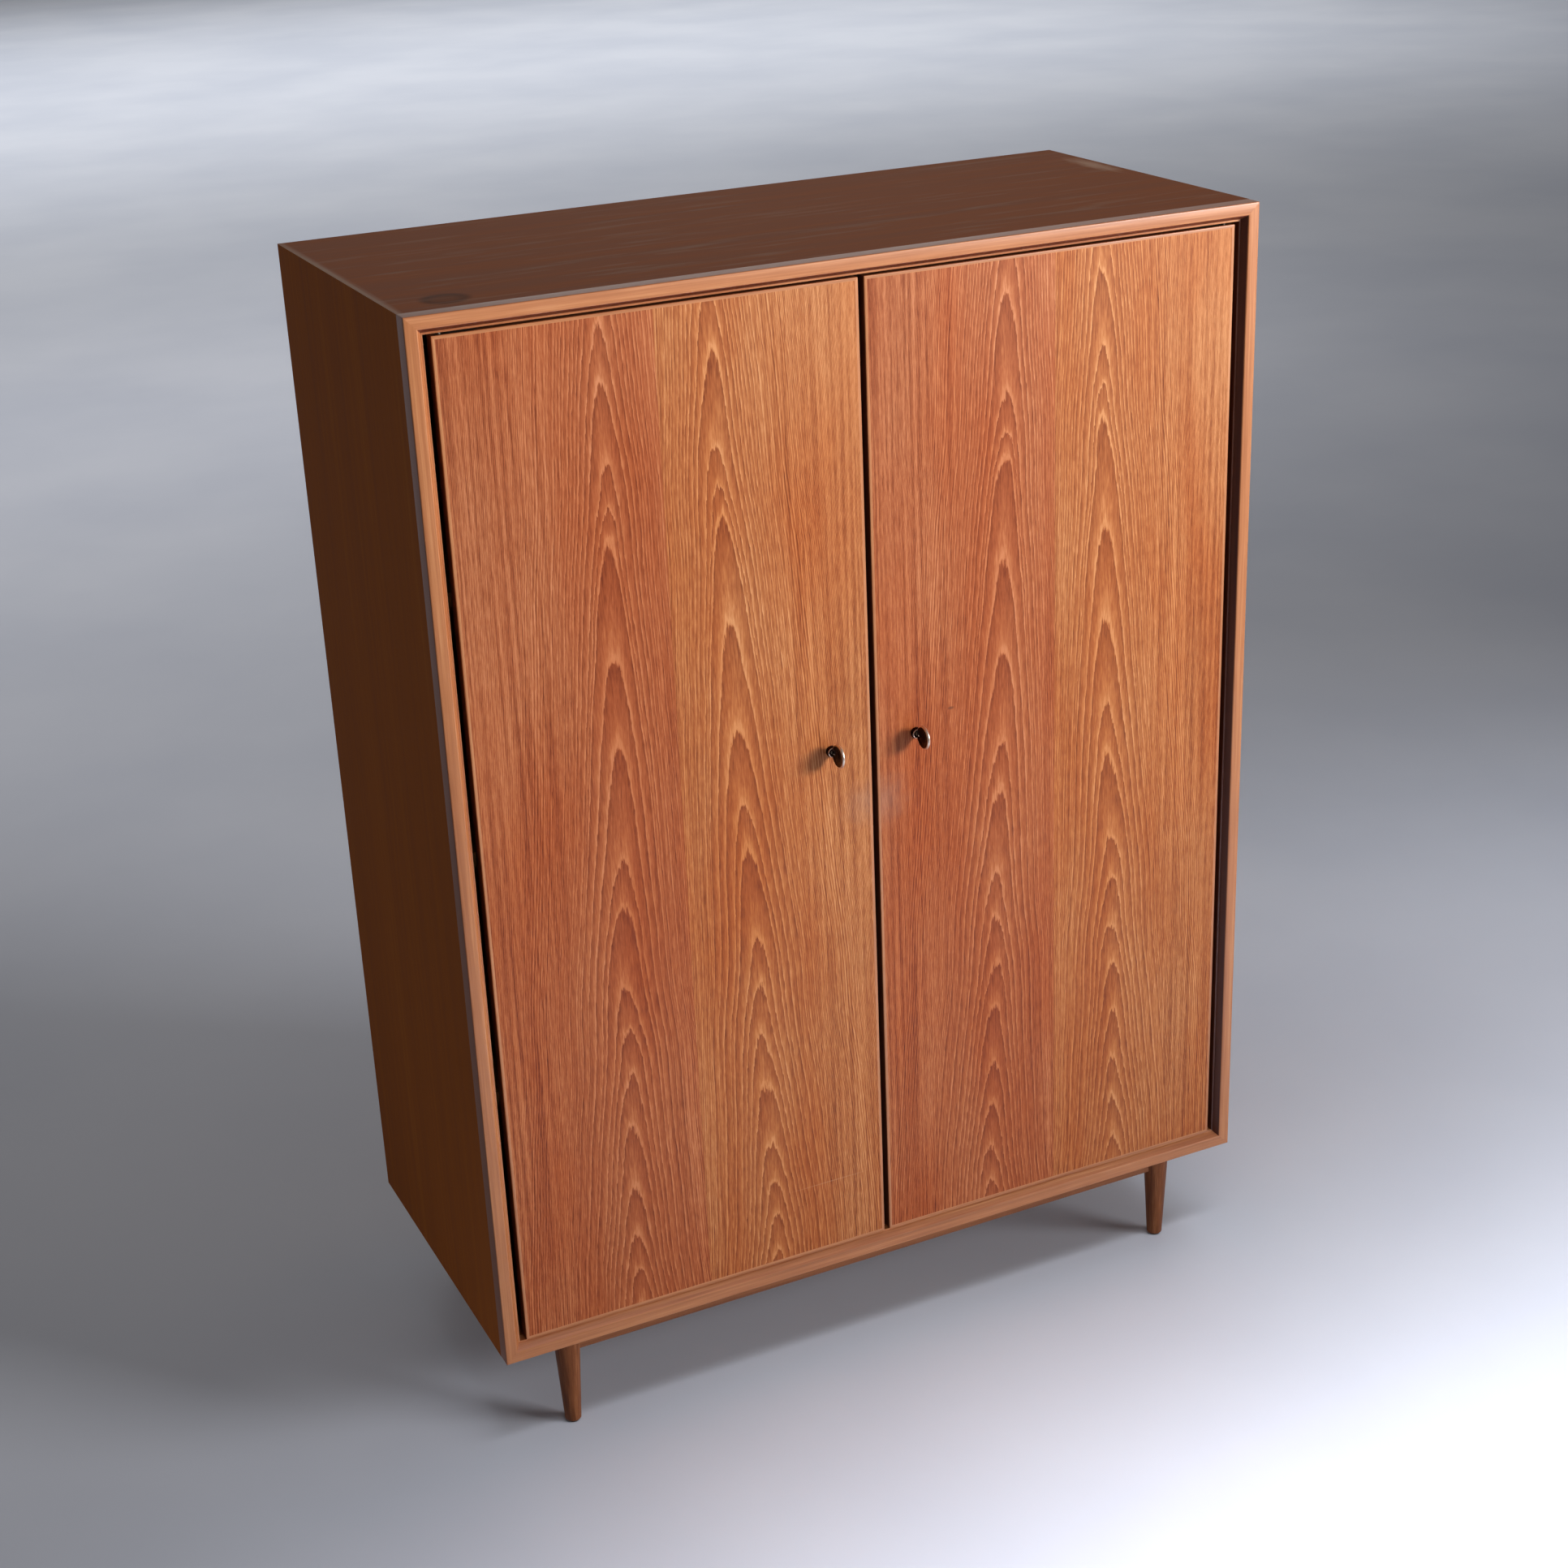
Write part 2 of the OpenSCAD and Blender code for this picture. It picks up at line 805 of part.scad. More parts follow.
module lock_case(side) {
    color(steel) sided(side) difference() {
        union() {
            block([lock_in_x, lock_y, lock_low], [lock_out_x, lock_y + lock_wall, lock_high]);
            difference() {
                lock_box(0, lock_y, lock_back_y - lock_wall);
                lock_box(lock_wall, lock_y + lock_wall, lock_back_y);
            }
            at_cover_screws() translate([0, 0, lock_wall])
                cylinder(h = lock_d - 2 * lock_wall, r = cover_post_r);
        }
        at_cover_screws() screw_hole(cover_screw);
        rod([key_x, lock_y - 1, key_z], "y", lock_wall + 2, shank_r + fit);
        bolt_window(lock_in_x - 1, lock_in_x + lock_wall + 1);
        at_lock_screws() screw_hole(lock_screw);
    }
}

module bolt_window(x0, x1) {
    block([x0, bolt_y - play, bolt_low - play], [x1, bolt_y + bolt_t + play, bolt_low + bolt_h + play]);
}

module lock_cover(side) {
    color(steel) sided(side) difference() {
        lock_box(0, lock_back_y - lock_wall, lock_back_y);
        at_cover_screws() screw_hole(cover_screw);
    }
}

module lock_screws(side) {
    color(steel) sided(side) {
        at_lock_screws() screw(lock_screw);
        at_cover_screws() screw(cover_screw);
    }
}

module bolt(side) {
    color("#b8a26a") sided(side) difference() {
        block([bolt_nose_x, bolt_y, bolt_low], [bolt_tail_x, bolt_y + bolt_t, bolt_low + bolt_h]);
        block(
            [drive_x - slot_w / 2, bolt_y - 1, slot_low],
            [drive_x + slot_w / 2, bolt_y + bolt_t + 1, slot_high]
        );
    }
}

// ---------- keys

// the bow is a flat disc on edge, with a rounded rim
module key_bow(side) {
    rim = bow_t / 2;
    color(dark_horn) sided(side) difference() {
        translate([key_x, bow_y, key_z]) rotate([0, 90, 0]) rotate_extrude($fn = 96)
            polygon(concat(
                [[0, -rim]],
                [for (a = [-90 : 15 : 90]) [bow_d / 2 - rim + rim * cos(a), rim * sin(a)]],
                [[0, rim]]
            ));
        rod([key_x, bow_back_y - tang_l, key_z], "y", tang_l + 1, tang_r + fit);
    }
}

// the shank runs from the bow, through the collar and the door, into the lock
module key_shank(side) {
    color(steel) sided(side) {
        rod([key_x, bow_back_y, key_z], "y", crank_y - bow_back_y, shank_r);
        rod([key_x, bow_back_y - tang_l, key_z], "y", tang_l + 1, tang_r);
    }
}

module follower(side) {
    color(steel) sided(side) {
        rod([key_x, crank_y, key_z], "y", crank_t, crank_disc_r);
        rod([drive_x, crank_y, drive_z], "y", crank_t + play + bolt_t, drive_r);
    }
}

// ---------- the nodes

side_panel(-1);  // left_side
side_panel(1);  // right_side
top_panel();
bottom_panel();
back_panel();
back_screws();
upright_moulding(-1);  // left_moulding
upright_moulding(1);  // right_moulding
cross_moulding(case_top, -1);  // top_moulding
cross_moulding(base_z, 1);  // bottom_moulding
partition();
shelf(1);  // shelf_1
shelf(2);  // shelf_2
shelf(3);  // shelf_3
shelf_pins();
hat_shelf();
hat_shelf_battens();
hanging_rail();
rail_sockets();
socket_screws();
strike_plates();
strike_screws();
long_rail(leg_front_y, 1);  // front_rail
long_rail(leg_back_y, -1);  // back_rail
side_rail(-1);  // left_rail
side_rail(1);  // right_rail
base_dowels();
base_screws();
leg(-1, leg_front_y);  // front_left_leg
leg(1, leg_front_y);  // front_right_leg
leg(-1, leg_back_y);  // back_left_leg
leg(1, leg_back_y);  // back_right_leg
leg_glides();
case_pivot_plates();
case_pivot_screws();
door_panel(-1);  // left_door_panel
door_lippings(-1);  // left_door_lippings
door_plates(-1);  // left_door_plates
door_screws(-1);  // left_door_screws
collar(-1);  // left_collar
lock_case(-1);  // left_lock_case
lock_cover(-1);  // left_lock_cover
lock_screws(-1);  // left_lock_screws
key_bow(-1);  // left_key_bow
key_shank(-1);  // left_key_shank
follower(-1);  // left_follower
bolt(-1);  // left_bolt
door_panel(1);  // right_door_panel
door_lippings(1);  // right_door_lippings
door_plates(1);  // right_door_plates
door_screws(1);  // right_door_screws
collar(1);  // right_collar
lock_case(1);  // right_lock_case
lock_cover(1);  // right_lock_cover
lock_screws(1);  // right_lock_screws
key_bow(1);  // right_key_bow
key_shank(1);  // right_key_shank
follower(1);  // right_follower
bolt(1);  // right_bolt
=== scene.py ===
# %% [markdown]
# # A teak wardrobe with two doors
# The measured model of the wardrobe is loaded first.
# Everything that follows is its looks: eased edges, turned legs, oiled teak, bronze keys, and
# the light that shows them.

import math

import bmesh
import bpy
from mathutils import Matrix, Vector


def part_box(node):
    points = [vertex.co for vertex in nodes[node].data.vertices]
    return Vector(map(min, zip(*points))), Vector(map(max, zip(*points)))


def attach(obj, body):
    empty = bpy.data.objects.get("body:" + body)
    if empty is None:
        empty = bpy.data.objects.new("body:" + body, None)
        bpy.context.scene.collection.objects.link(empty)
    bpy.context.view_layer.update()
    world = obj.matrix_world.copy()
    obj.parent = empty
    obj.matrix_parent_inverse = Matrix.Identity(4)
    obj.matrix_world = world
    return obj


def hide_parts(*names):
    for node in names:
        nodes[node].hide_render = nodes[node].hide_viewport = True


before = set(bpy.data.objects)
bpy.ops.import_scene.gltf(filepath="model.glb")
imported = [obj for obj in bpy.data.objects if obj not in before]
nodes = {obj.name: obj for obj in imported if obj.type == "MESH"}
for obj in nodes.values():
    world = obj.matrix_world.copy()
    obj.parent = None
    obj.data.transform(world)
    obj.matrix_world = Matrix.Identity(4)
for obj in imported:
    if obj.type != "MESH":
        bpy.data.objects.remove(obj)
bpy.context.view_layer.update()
scene = bpy.context.scene

# %% [markdown]
# ## Camera
# A normal lens a little over three metres away, at head height and turned so that the left
# side shows. The place and the three angles are set by hand, because an object that has to be
# compared from one fixed side needs one fixed camera.

# %% Set up the camera
camera_data = bpy.data.cameras.new("camera")
camera_data.lens = 58.0
camera_data.sensor_width = 36.0
camera_data.shift_x = -0.0100
camera_data.shift_y = 0.0062
camera = bpy.data.objects.new("camera", camera_data)
camera.location = (-1.4022, -3.0007, 2.1934)
camera.rotation_euler = [math.radians(a) for a in (66.761, 2.141, -26.004)]
scene.collection.objects.link(camera)
scene.camera = camera
print("camera", round(camera.location.length, 2), "m from the floor centre")

# %% [markdown]
# ## Light and floor
# The room has one broad, low window to the right of the doors. A large area light stands in
# for it: its size makes the shadows soft, and its narrow spread lets the light fade towards the
# foot of the doors. The daylight that falls on the floor comes from lights that face straight
# down, because a floor lit by the window alone would throw too much light back up at the doors.
# A weak sky fills the shaded side, and the floor is one plain pale disc.

# %% Window and daylight
def area_light(name, place, target, size, power, tint, spread=180):
    """A soft lamp in metres, watts and degrees of spread, aimed from its place at a target."""
    lamp = bpy.data.lights.new(name, "AREA")
    lamp.shape = "RECTANGLE"
    lamp.size, lamp.size_y = size
    lamp.energy = power
    lamp.color = tint
    lamp.spread = math.radians(spread)
    holder = bpy.data.objects.new(name, lamp)
    holder.location = place
    aim = Vector(target) - Vector(place)
    holder.rotation_euler = aim.to_track_quat("-Z", "Y").to_euler()
    scene.collection.objects.link(holder)
    return holder


def floor_light(name, place, size, power, tint, spread=180):
    """A soft lamp that faces straight down at the floor."""
    return area_light(name, place, (place[0], place[1], 0.0), size, power, tint, spread)


sun_tint = (1.0, 0.98, 0.96)
sky_tint = (0.97, 0.98, 1.0)
area_light("window", (3.75, -3.5, 2.5), (0.25, -0.2, 2.15), (2.3, 1.7), 60, sun_tint, 56)
floor_light("window foot", (0.7, -1.5, 2.6), (3.0, 1.0), 34, sky_tint, 56)
floor_light("side window", (1.9, 0.0, 2.7), (1.2, 1.4), 5, sky_tint, 66)
floor_light("far floor", (-1.0, 15.0, 6.0), (26.0, 10.0), 900, (1.0, 1.0, 0.98), 120)
floor_light("back of the room", (0.8, 5.6, 3.0), (6.0, 3.0), 75, sun_tint)
area_light("far wall", (2.6, 4.2, 3.2), (0.2, 0.2, 1.4), (3.5, 2.0), 4, (1.0, 0.95, 0.90), 110)
lamps = [thing for thing in scene.objects if thing.type == "LIGHT"]
print("lamps:", len(lamps), "with", sum(lamp.data.energy for lamp in lamps), "W in all")

# %% Sky
world = bpy.data.worlds.new("room")
scene.world = world
world.use_nodes = True
sky = world.node_tree.nodes["Background"]
sky.inputs["Color"].default_value = (1.0, 0.97, 0.95, 1.0)
sky.inputs["Strength"].default_value = 0.14
# looked at directly the room is pale, but what it sends to the wardrobe stays weak
pale = world.node_tree.nodes.new("ShaderNodeBackground")
pale.inputs["Color"].default_value = (0.62, 0.65, 0.64, 1.0)
seen = world.node_tree.nodes.new("ShaderNodeLightPath")
either = world.node_tree.nodes.new("ShaderNodeMixShader")
links = world.node_tree.links
links.new(seen.outputs["Is Camera Ray"], either.inputs[0])
links.new(sky.outputs[0], either.inputs[1])
links.new(pale.outputs[0], either.inputs[2])
links.new(either.outputs[0], world.node_tree.nodes["World Output"].inputs[0])
print("sky strength", round(sky.inputs["Strength"].default_value, 2))

# %% Floor disc
bpy.ops.mesh.primitive_circle_add(vertices=96, radius=40, fill_type="NGON", location=(0, 0, 0))
floor = bpy.context.active_object
floor.name = "floor"
scene.view_settings.view_transform = "Standard"
print("floor", round(floor.dimensions.x, 1), "m across")

# %% [markdown]
# ## Colours and nodes
# Colours are picked as sRGB hex, the way a paint card gives them, and turned to the linear
# values that light is worked out in. One helper adds a shader node with its settings and links.
# All patterns are laid out in millimetres, so that their scales can be read as real sizes.

# %% Helpers for nodes
MM = 1000.0  # millimetres in a metre


def hex_colour(code):
    """An sRGB hex code as a linear colour with alpha."""
    channels = [int(code[i:i + 2], 16) / 255 for i in (1, 3, 5)]
    linear = [c / 12.92 if c <= 0.04045 else ((c + 0.055) / 1.055) ** 2.4 for c in channels]
    return (*linear, 1.0)


def add(tree, kind, links=None, **settings):
    """Adds a node. links gives each input, by name or number, a value or another node's output."""
    node = tree.nodes.new(kind)
    for name, value in settings.items():
        setattr(node, name, value)
    for socket, value in (links or {}).items():
        if isinstance(value, bpy.types.NodeSocket):
            tree.links.new(value, node.inputs[socket])
        else:
            node.inputs[socket].default_value = value
    return node


def new_material(name):
    """A node material, with its node tree and its main shader."""
    material = bpy.data.materials.new(name)
    material.use_nodes = True
    return material, material.node_tree, material.node_tree.nodes["Principled BSDF"]


def object_mm(tree):
    """The place of each point on the object, in millimetres."""
    place = add(tree, "ShaderNodeTexCoord")
    return add(tree, "ShaderNodeVectorMath", {0: place.outputs["Object"], "Scale": MM},
               operation="SCALE")


def current_colour(shader):
    """The output that feeds the colour of a shader."""
    return shader.inputs["Base Color"].links[0].from_socket


def set_ramp(node, stops):
    """Fills a Color Ramp with stops of (place, hex code) or (place, grey)."""
    ramp = node.color_ramp
    while len(ramp.elements) < len(stops):
        ramp.elements.new(1.0)
    for element, (place, code) in zip(ramp.elements, stops):
        element.position = place
        element.color = hex_colour(code) if isinstance(code, str) else (code, code, code, 1.0)


# %% Helpers for dressing and marking
def dress(node_names, material):
    """Gives every slot of the named CAD nodes one material."""
    for name in node_names:
        for place in nodes[name].material_slots:
            place.material = material


def soft_spot(tree, mm, centre, radii, inner=0.4, ragged=0.25):
    """A soft mask: 1 inside an ellipsoid (centre and radii in mm), 0 outside, ragged at its rim."""
    near = add(tree, "ShaderNodeVectorMath", {0: mm, 1: centre}, operation="SUBTRACT")
    near = add(tree, "ShaderNodeVectorMath", {0: near.outputs[0], 1: radii}, operation="DIVIDE")
    span = add(tree, "ShaderNodeVectorMath", {0: near.outputs[0]}, operation="LENGTH")
    rough = add(tree, "ShaderNodeTexNoise", {"Vector": near.outputs[0], "Scale": 2.6, "Detail": 4.0})
    span = add(tree, "ShaderNodeMath", {0: rough.outputs[0], 1: ragged * 2, 2: span.outputs["Value"]},
               operation="MULTIPLY_ADD")
    return add(tree, "ShaderNodeMapRange", {0: span.outputs[0], 1: 1.0 + ragged, 2: inner + ragged,
                                            3: 0.0, 4: 1.0}, interpolation_type="SMOOTHSTEP")


def lay_over(tree, mask, base, code, amount, how="MIX"):
    """Lays a colour over another one where a mask is 1, by the given amount.

    A Mix node's two colours are its inputs 6 and 7, and the mixed colour is its output 2.
    """
    share = add(tree, "ShaderNodeMath", {0: mask, 1: amount}, operation="MULTIPLY")
    return add(tree, "ShaderNodeMix", {0: share.outputs[0], 6: base, 7: hex_colour(code)},
               data_type="RGBA", blend_type=how).outputs[2]


# %% [markdown]
# ## Teak veneer on the doors
# A slice cut flat through a tapering tree crosses its year rings as a stack of arches. Along
# the heart of the leaf each ring ends in a peak; on both flanks the rings run down as fine,
# nearly upright lines. So the pattern is made from that geometry: the height of a point plus
# the drop of its arch gives the place in the stack of rings, and the place in one ring gives
# the tone. Each door has two leaves opened like a book, so the second is the first mirrored.

# %% Sizes of the door leaves
door_low, door_high = (v.z * MM for v in map(Vector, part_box("left_door_lippings")))
door_span = [v.x * MM for v in map(Vector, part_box("right_door_lippings"))]
leaf_seam = sum(door_span) / 2
# how far up the heart each year's ring rises, from the bottom of the door upwards
year_rises = (60, 66, 70, 88, 68, 72, 70, 132, 62, 134, 128, 142, 34, 58, 112, 70, 90)
print("door leaves meet at", round(leaf_seam, 1), "mm, height", round(door_high - door_low, 1), "mm")


def ring_curve(node, reach):
    """Shapes a Float Curve so that it counts rings: 0 at the bottom, 1 after all of them."""
    heights = [0.0]
    while heights[-1] < reach:
        heights.append(heights[-1] + year_rises[(len(heights) - 1) % len(year_rises)])
    curve = node.mapping.curves[0]
    count = len(heights) - 1
    curve.points[0].location = (0.0, 0.0)
    curve.points[1].location = (1.0, 1.0)
    for i, height in enumerate(heights[1:-1], start=1):
        curve.points.new(height / heights[-1], i / count)
    for point in curve.points:
        point.handle_type = "VECTOR"
    node.mapping.update()
    return heights[-1], count


# %% The rings of a flat-cut leaf
stack_reach = 3400  # mm of rings, enough for the lowest flank under the highest arch


def leaf_rings(tree, across, leaf, height, flat, slip):
    """Counts the year rings up to each point, and measures its distance from the heart line."""
    # the heart line leans outwards towards the bottom and wanders a little
    sway = add(tree, "ShaderNodeMath", {0: height.outputs[0], 1: 0.0030}, operation="MULTIPLY")
    sway = add(tree, "ShaderNodeTexNoise", {"W": sway.outputs[0], "Scale": 1.0, "Detail": 1.0},
               noise_dimensions="1D")
    sway = add(tree, "ShaderNodeMath", {0: sway.outputs[0], 1: 18.0, 2: 95.0},
               operation="MULTIPLY_ADD")
    lean = add(tree, "ShaderNodeMath", {0: height.outputs[0], 1: -0.0250, 2: sway.outputs[0]},
               operation="MULTIPLY_ADD")
    off_heart = add(tree, "ShaderNodeMath", {0: across.outputs[0], 1: lean.outputs[0]},
                    operation="SUBTRACT")

    # an arch: round at the peak, then falling about 10 mm for each mm sideways
    peak = 30.0
    square = add(tree, "ShaderNodeMath", {0: off_heart.outputs[0], 1: off_heart.outputs[0],
                                          2: peak ** 2}, operation="MULTIPLY_ADD")
    arm = add(tree, "ShaderNodeMath", {0: square.outputs[0]}, operation="SQRT")
    arm = add(tree, "ShaderNodeMath", {0: arm.outputs[0], 1: peak}, operation="SUBTRACT")
    far = add(tree, "ShaderNodeMath", {0: off_heart.outputs[0], 1: off_heart.outputs[0]},
              operation="MULTIPLY")
    arm = add(tree, "ShaderNodeMath", {0: far.outputs[0], 1: 1 / 210, 2: arm.outputs[0]},
              operation="MULTIPLY_ADD")
    steep = add(tree, "ShaderNodeMath", {0: height.outputs[0], 1: 0.0020, 2: 9.6},
                operation="MULTIPLY_ADD")
    arch = add(tree, "ShaderNodeMath", {0: arm.outputs[0], 1: steep.outputs[0],
                                        2: height.outputs[0]}, operation="MULTIPLY_ADD")

    # the saw shows every ripple of the ring: slow bends some 42 mm wide and 250 mm long, and
    # fine steps some 3 mm wide and 26 mm long
    bends = add(tree, "ShaderNodeMapping", {
        "Vector": flat.outputs[0], "Scale": (1 / 42, 3.0, 1 / 250), "Location": (slip, 0.0, slip)})
    bends = add(tree, "ShaderNodeTexNoise", {
        "Vector": bends.outputs[0], "Scale": 1.0, "Detail": 2.0})
    steps = add(tree, "ShaderNodeMapping", {
        "Vector": flat.outputs[0], "Scale": (1 / 3.2, 5.0, 1 / 26)})
    steps = add(tree, "ShaderNodeTexNoise", {
        "Vector": steps.outputs[0], "Scale": 1.0, "Detail": 3.0, "Roughness": 0.6})
    stack = add(tree, "ShaderNodeMath", {0: bends.outputs[0], 1: 95.0, 2: arch.outputs[0]},
                operation="MULTIPLY_ADD")
    stack = add(tree, "ShaderNodeMath", {0: steps.outputs[0], 1: 44.0, 2: stack.outputs[0]},
                operation="MULTIPLY_ADD")
    # the next leaf off the log is a shade deeper in the tree, so its peaks stand higher
    stack = add(tree, "ShaderNodeMath", {0: leaf.outputs[0], 1: -17.0, 2: stack.outputs[0]},
                operation="MULTIPLY_ADD")
    stack = add(tree, "ShaderNodeMath", {0: stack.outputs[0], 1: slip + 69.0}, operation="SUBTRACT")

    counter = add(tree, "ShaderNodeFloatCurve")
    reach, rings = ring_curve(counter, stack_reach)
    share = add(tree, "ShaderNodeMath", {0: stack.outputs[0], 1: reach}, operation="DIVIDE")
    tree.links.new(share.outputs[0], counter.inputs["Value"])
    ring = add(tree, "ShaderNodeMath", {0: counter.outputs[0], 1: float(rings)},
               operation="MULTIPLY")
    return ring, off_heart


# %% The tone of a leaf
def leaf_tone(tree, ring, off_heart, flat):
    """From 0 for the darkest wood to 1 for the palest, with rings, fine lines and pores."""
    # one ring, from its pale porous start up through the summer wood to its dark end
    phase = add(tree, "ShaderNodeMath", {0: ring.outputs[0]}, operation="FRACT")
    year = add(tree, "ShaderNodeValToRGB", {0: phase.outputs[0]})
    set_ramp(year, [(0.0, 0.95), (0.09, 0.70), (0.32, 0.50), (0.72, 0.32), (0.90, 0.15),
                    (0.935, 0.92), (1.0, 1.0)])

    # on the flanks each year splits into finer lines, and so do the streaks below
    flank = add(tree, "ShaderNodeMath", {0: off_heart.outputs[0]}, operation="ABSOLUTE")
    flank = add(tree, "ShaderNodeMapRange", {
        0: flank.outputs[0], 1: 40.0, 2: 105.0, 3: 0.0, 4: 1.0})
    fine = add(tree, "ShaderNodeMath", {0: ring.outputs[0], 1: 1.5}, operation="MULTIPLY")
    fine = add(tree, "ShaderNodeMath", {0: fine.outputs[0]}, operation="FRACT")
    fine = add(tree, "ShaderNodeValToRGB", {0: fine.outputs[0]})
    set_ramp(fine, [(0.0, 0.95), (0.22, 0.60), (0.78, 0.10), (0.92, 0.95)])
    lines = add(tree, "ShaderNodeMix", {0: 0.0, 6: year.outputs[0], 7: fine.outputs[0]},
                data_type="RGBA")
    weight = add(tree, "ShaderNodeMath", {0: flank.outputs[0], 1: 0.85}, operation="MULTIPLY")
    tree.links.new(weight.outputs[0], lines.inputs[0])

    # long streaks of mineral and oil, 2 to 12 mm wide, and pores drawn at 2.2 mm, which is
    # coarser than the real 0.3 mm so that they still show from across a room
    streak = add(tree, "ShaderNodeMapping", {
        "Vector": flat.outputs[0], "Scale": (1 / 5.5, 7.0, 1 / 520)})
    streak = add(tree, "ShaderNodeTexNoise", {
        "Vector": streak.outputs[0], "Scale": 1.0, "Detail": 3.0, "Roughness": 0.6})
    streak = add(tree, "ShaderNodeMapRange", {
        0: streak.outputs[0], 1: 0.34, 2: 0.66, 3: -0.5, 4: 0.5})
    depth = add(tree, "ShaderNodeMath", {0: flank.outputs[0], 1: 0.36, 2: 0.08},
                operation="MULTIPLY_ADD")
    pores = add(tree, "ShaderNodeMapping", {
        "Vector": flat.outputs[0], "Scale": (1 / 2.2, 9.0, 1 / 26)})
    pores = add(tree, "ShaderNodeTexNoise", {
        "Vector": pores.outputs[0], "Scale": 1.0, "Detail": 2.0, "Roughness": 0.7})
    tone = add(tree, "ShaderNodeMath", {0: streak.outputs[0], 1: depth.outputs[0], 2: -0.24},
               operation="MULTIPLY_ADD")
    tone = add(tree, "ShaderNodeMath", {0: pores.outputs[0], 1: 0.88, 2: tone.outputs[0]},
               operation="MULTIPLY_ADD")
    return add(tree, "ShaderNodeMath", {0: lines.outputs[2], 1: 0.70, 2: tone.outputs[0]},
               operation="MULTIPLY_ADD")


# %% [markdown]
# ## Years of use and painted shade on the doors
# Light and hands change oiled teak unevenly. Each mark is a soft mask with a ragged rim, placed
# in millimetres, through which a thin layer of another colour shows. Towards the foot each door
# also gets a little painted shade.

# %% Years of use and painted shade on a door
def door_wear_and_shade(tree, mm, height, base):
    """Lays marks of use and painted shade on a door's colour; also returns the handled patch's mask.
    """
    # painted shade: the lower part of the door is made a little darker and redder than the top
    foot = add(tree, "ShaderNodeMapRange", {0: height.outputs[0], 1: 1250.0, 2: 650.0, 3: 0.0, 4: 1.0},
               interpolation_type="SMOOTHSTEP")
    finish = lay_over(tree, foot.outputs[0], base, "#fff6ec", 1.0, "MULTIPLY")
    # the sun has turned two edges orange
    for centre, radii in (((-60, 0, 1250), (120, 400, 330)), ((520, 0, 1200), (110, 400, 420))):
        sunned = soft_spot(tree, mm.outputs[0], centre, radii, 0.0)
        finish = lay_over(tree, sunned.outputs[0], finish, "#ffce8c", 0.42, "MULTIPLY")
    # hands have dulled the wood under the keys
    handled = soft_spot(tree, mm.outputs[0], (2, -242, 851), (66, 300, 50), 0.0, 0.35)
    finish = lay_over(tree, handled.outputs[0], finish, "#9c8173", 0.30)
    # one small dark scar, and one long faint scratch
    scar = soft_spot(tree, mm.outputs[0], (117, -242, 961), (7, 300, 3), 0.3)
    finish = lay_over(tree, scar.outputs[0], finish, "#6a3a26", 0.75)
    scratch = soft_spot(tree, mm.outputs[0], (-85, -242, 287), (84, 300, 1.3), 0.0, 0.4)
    finish = lay_over(tree, scratch.outputs[0], finish, "#d7ad88", 0.25)
    return finish, handled
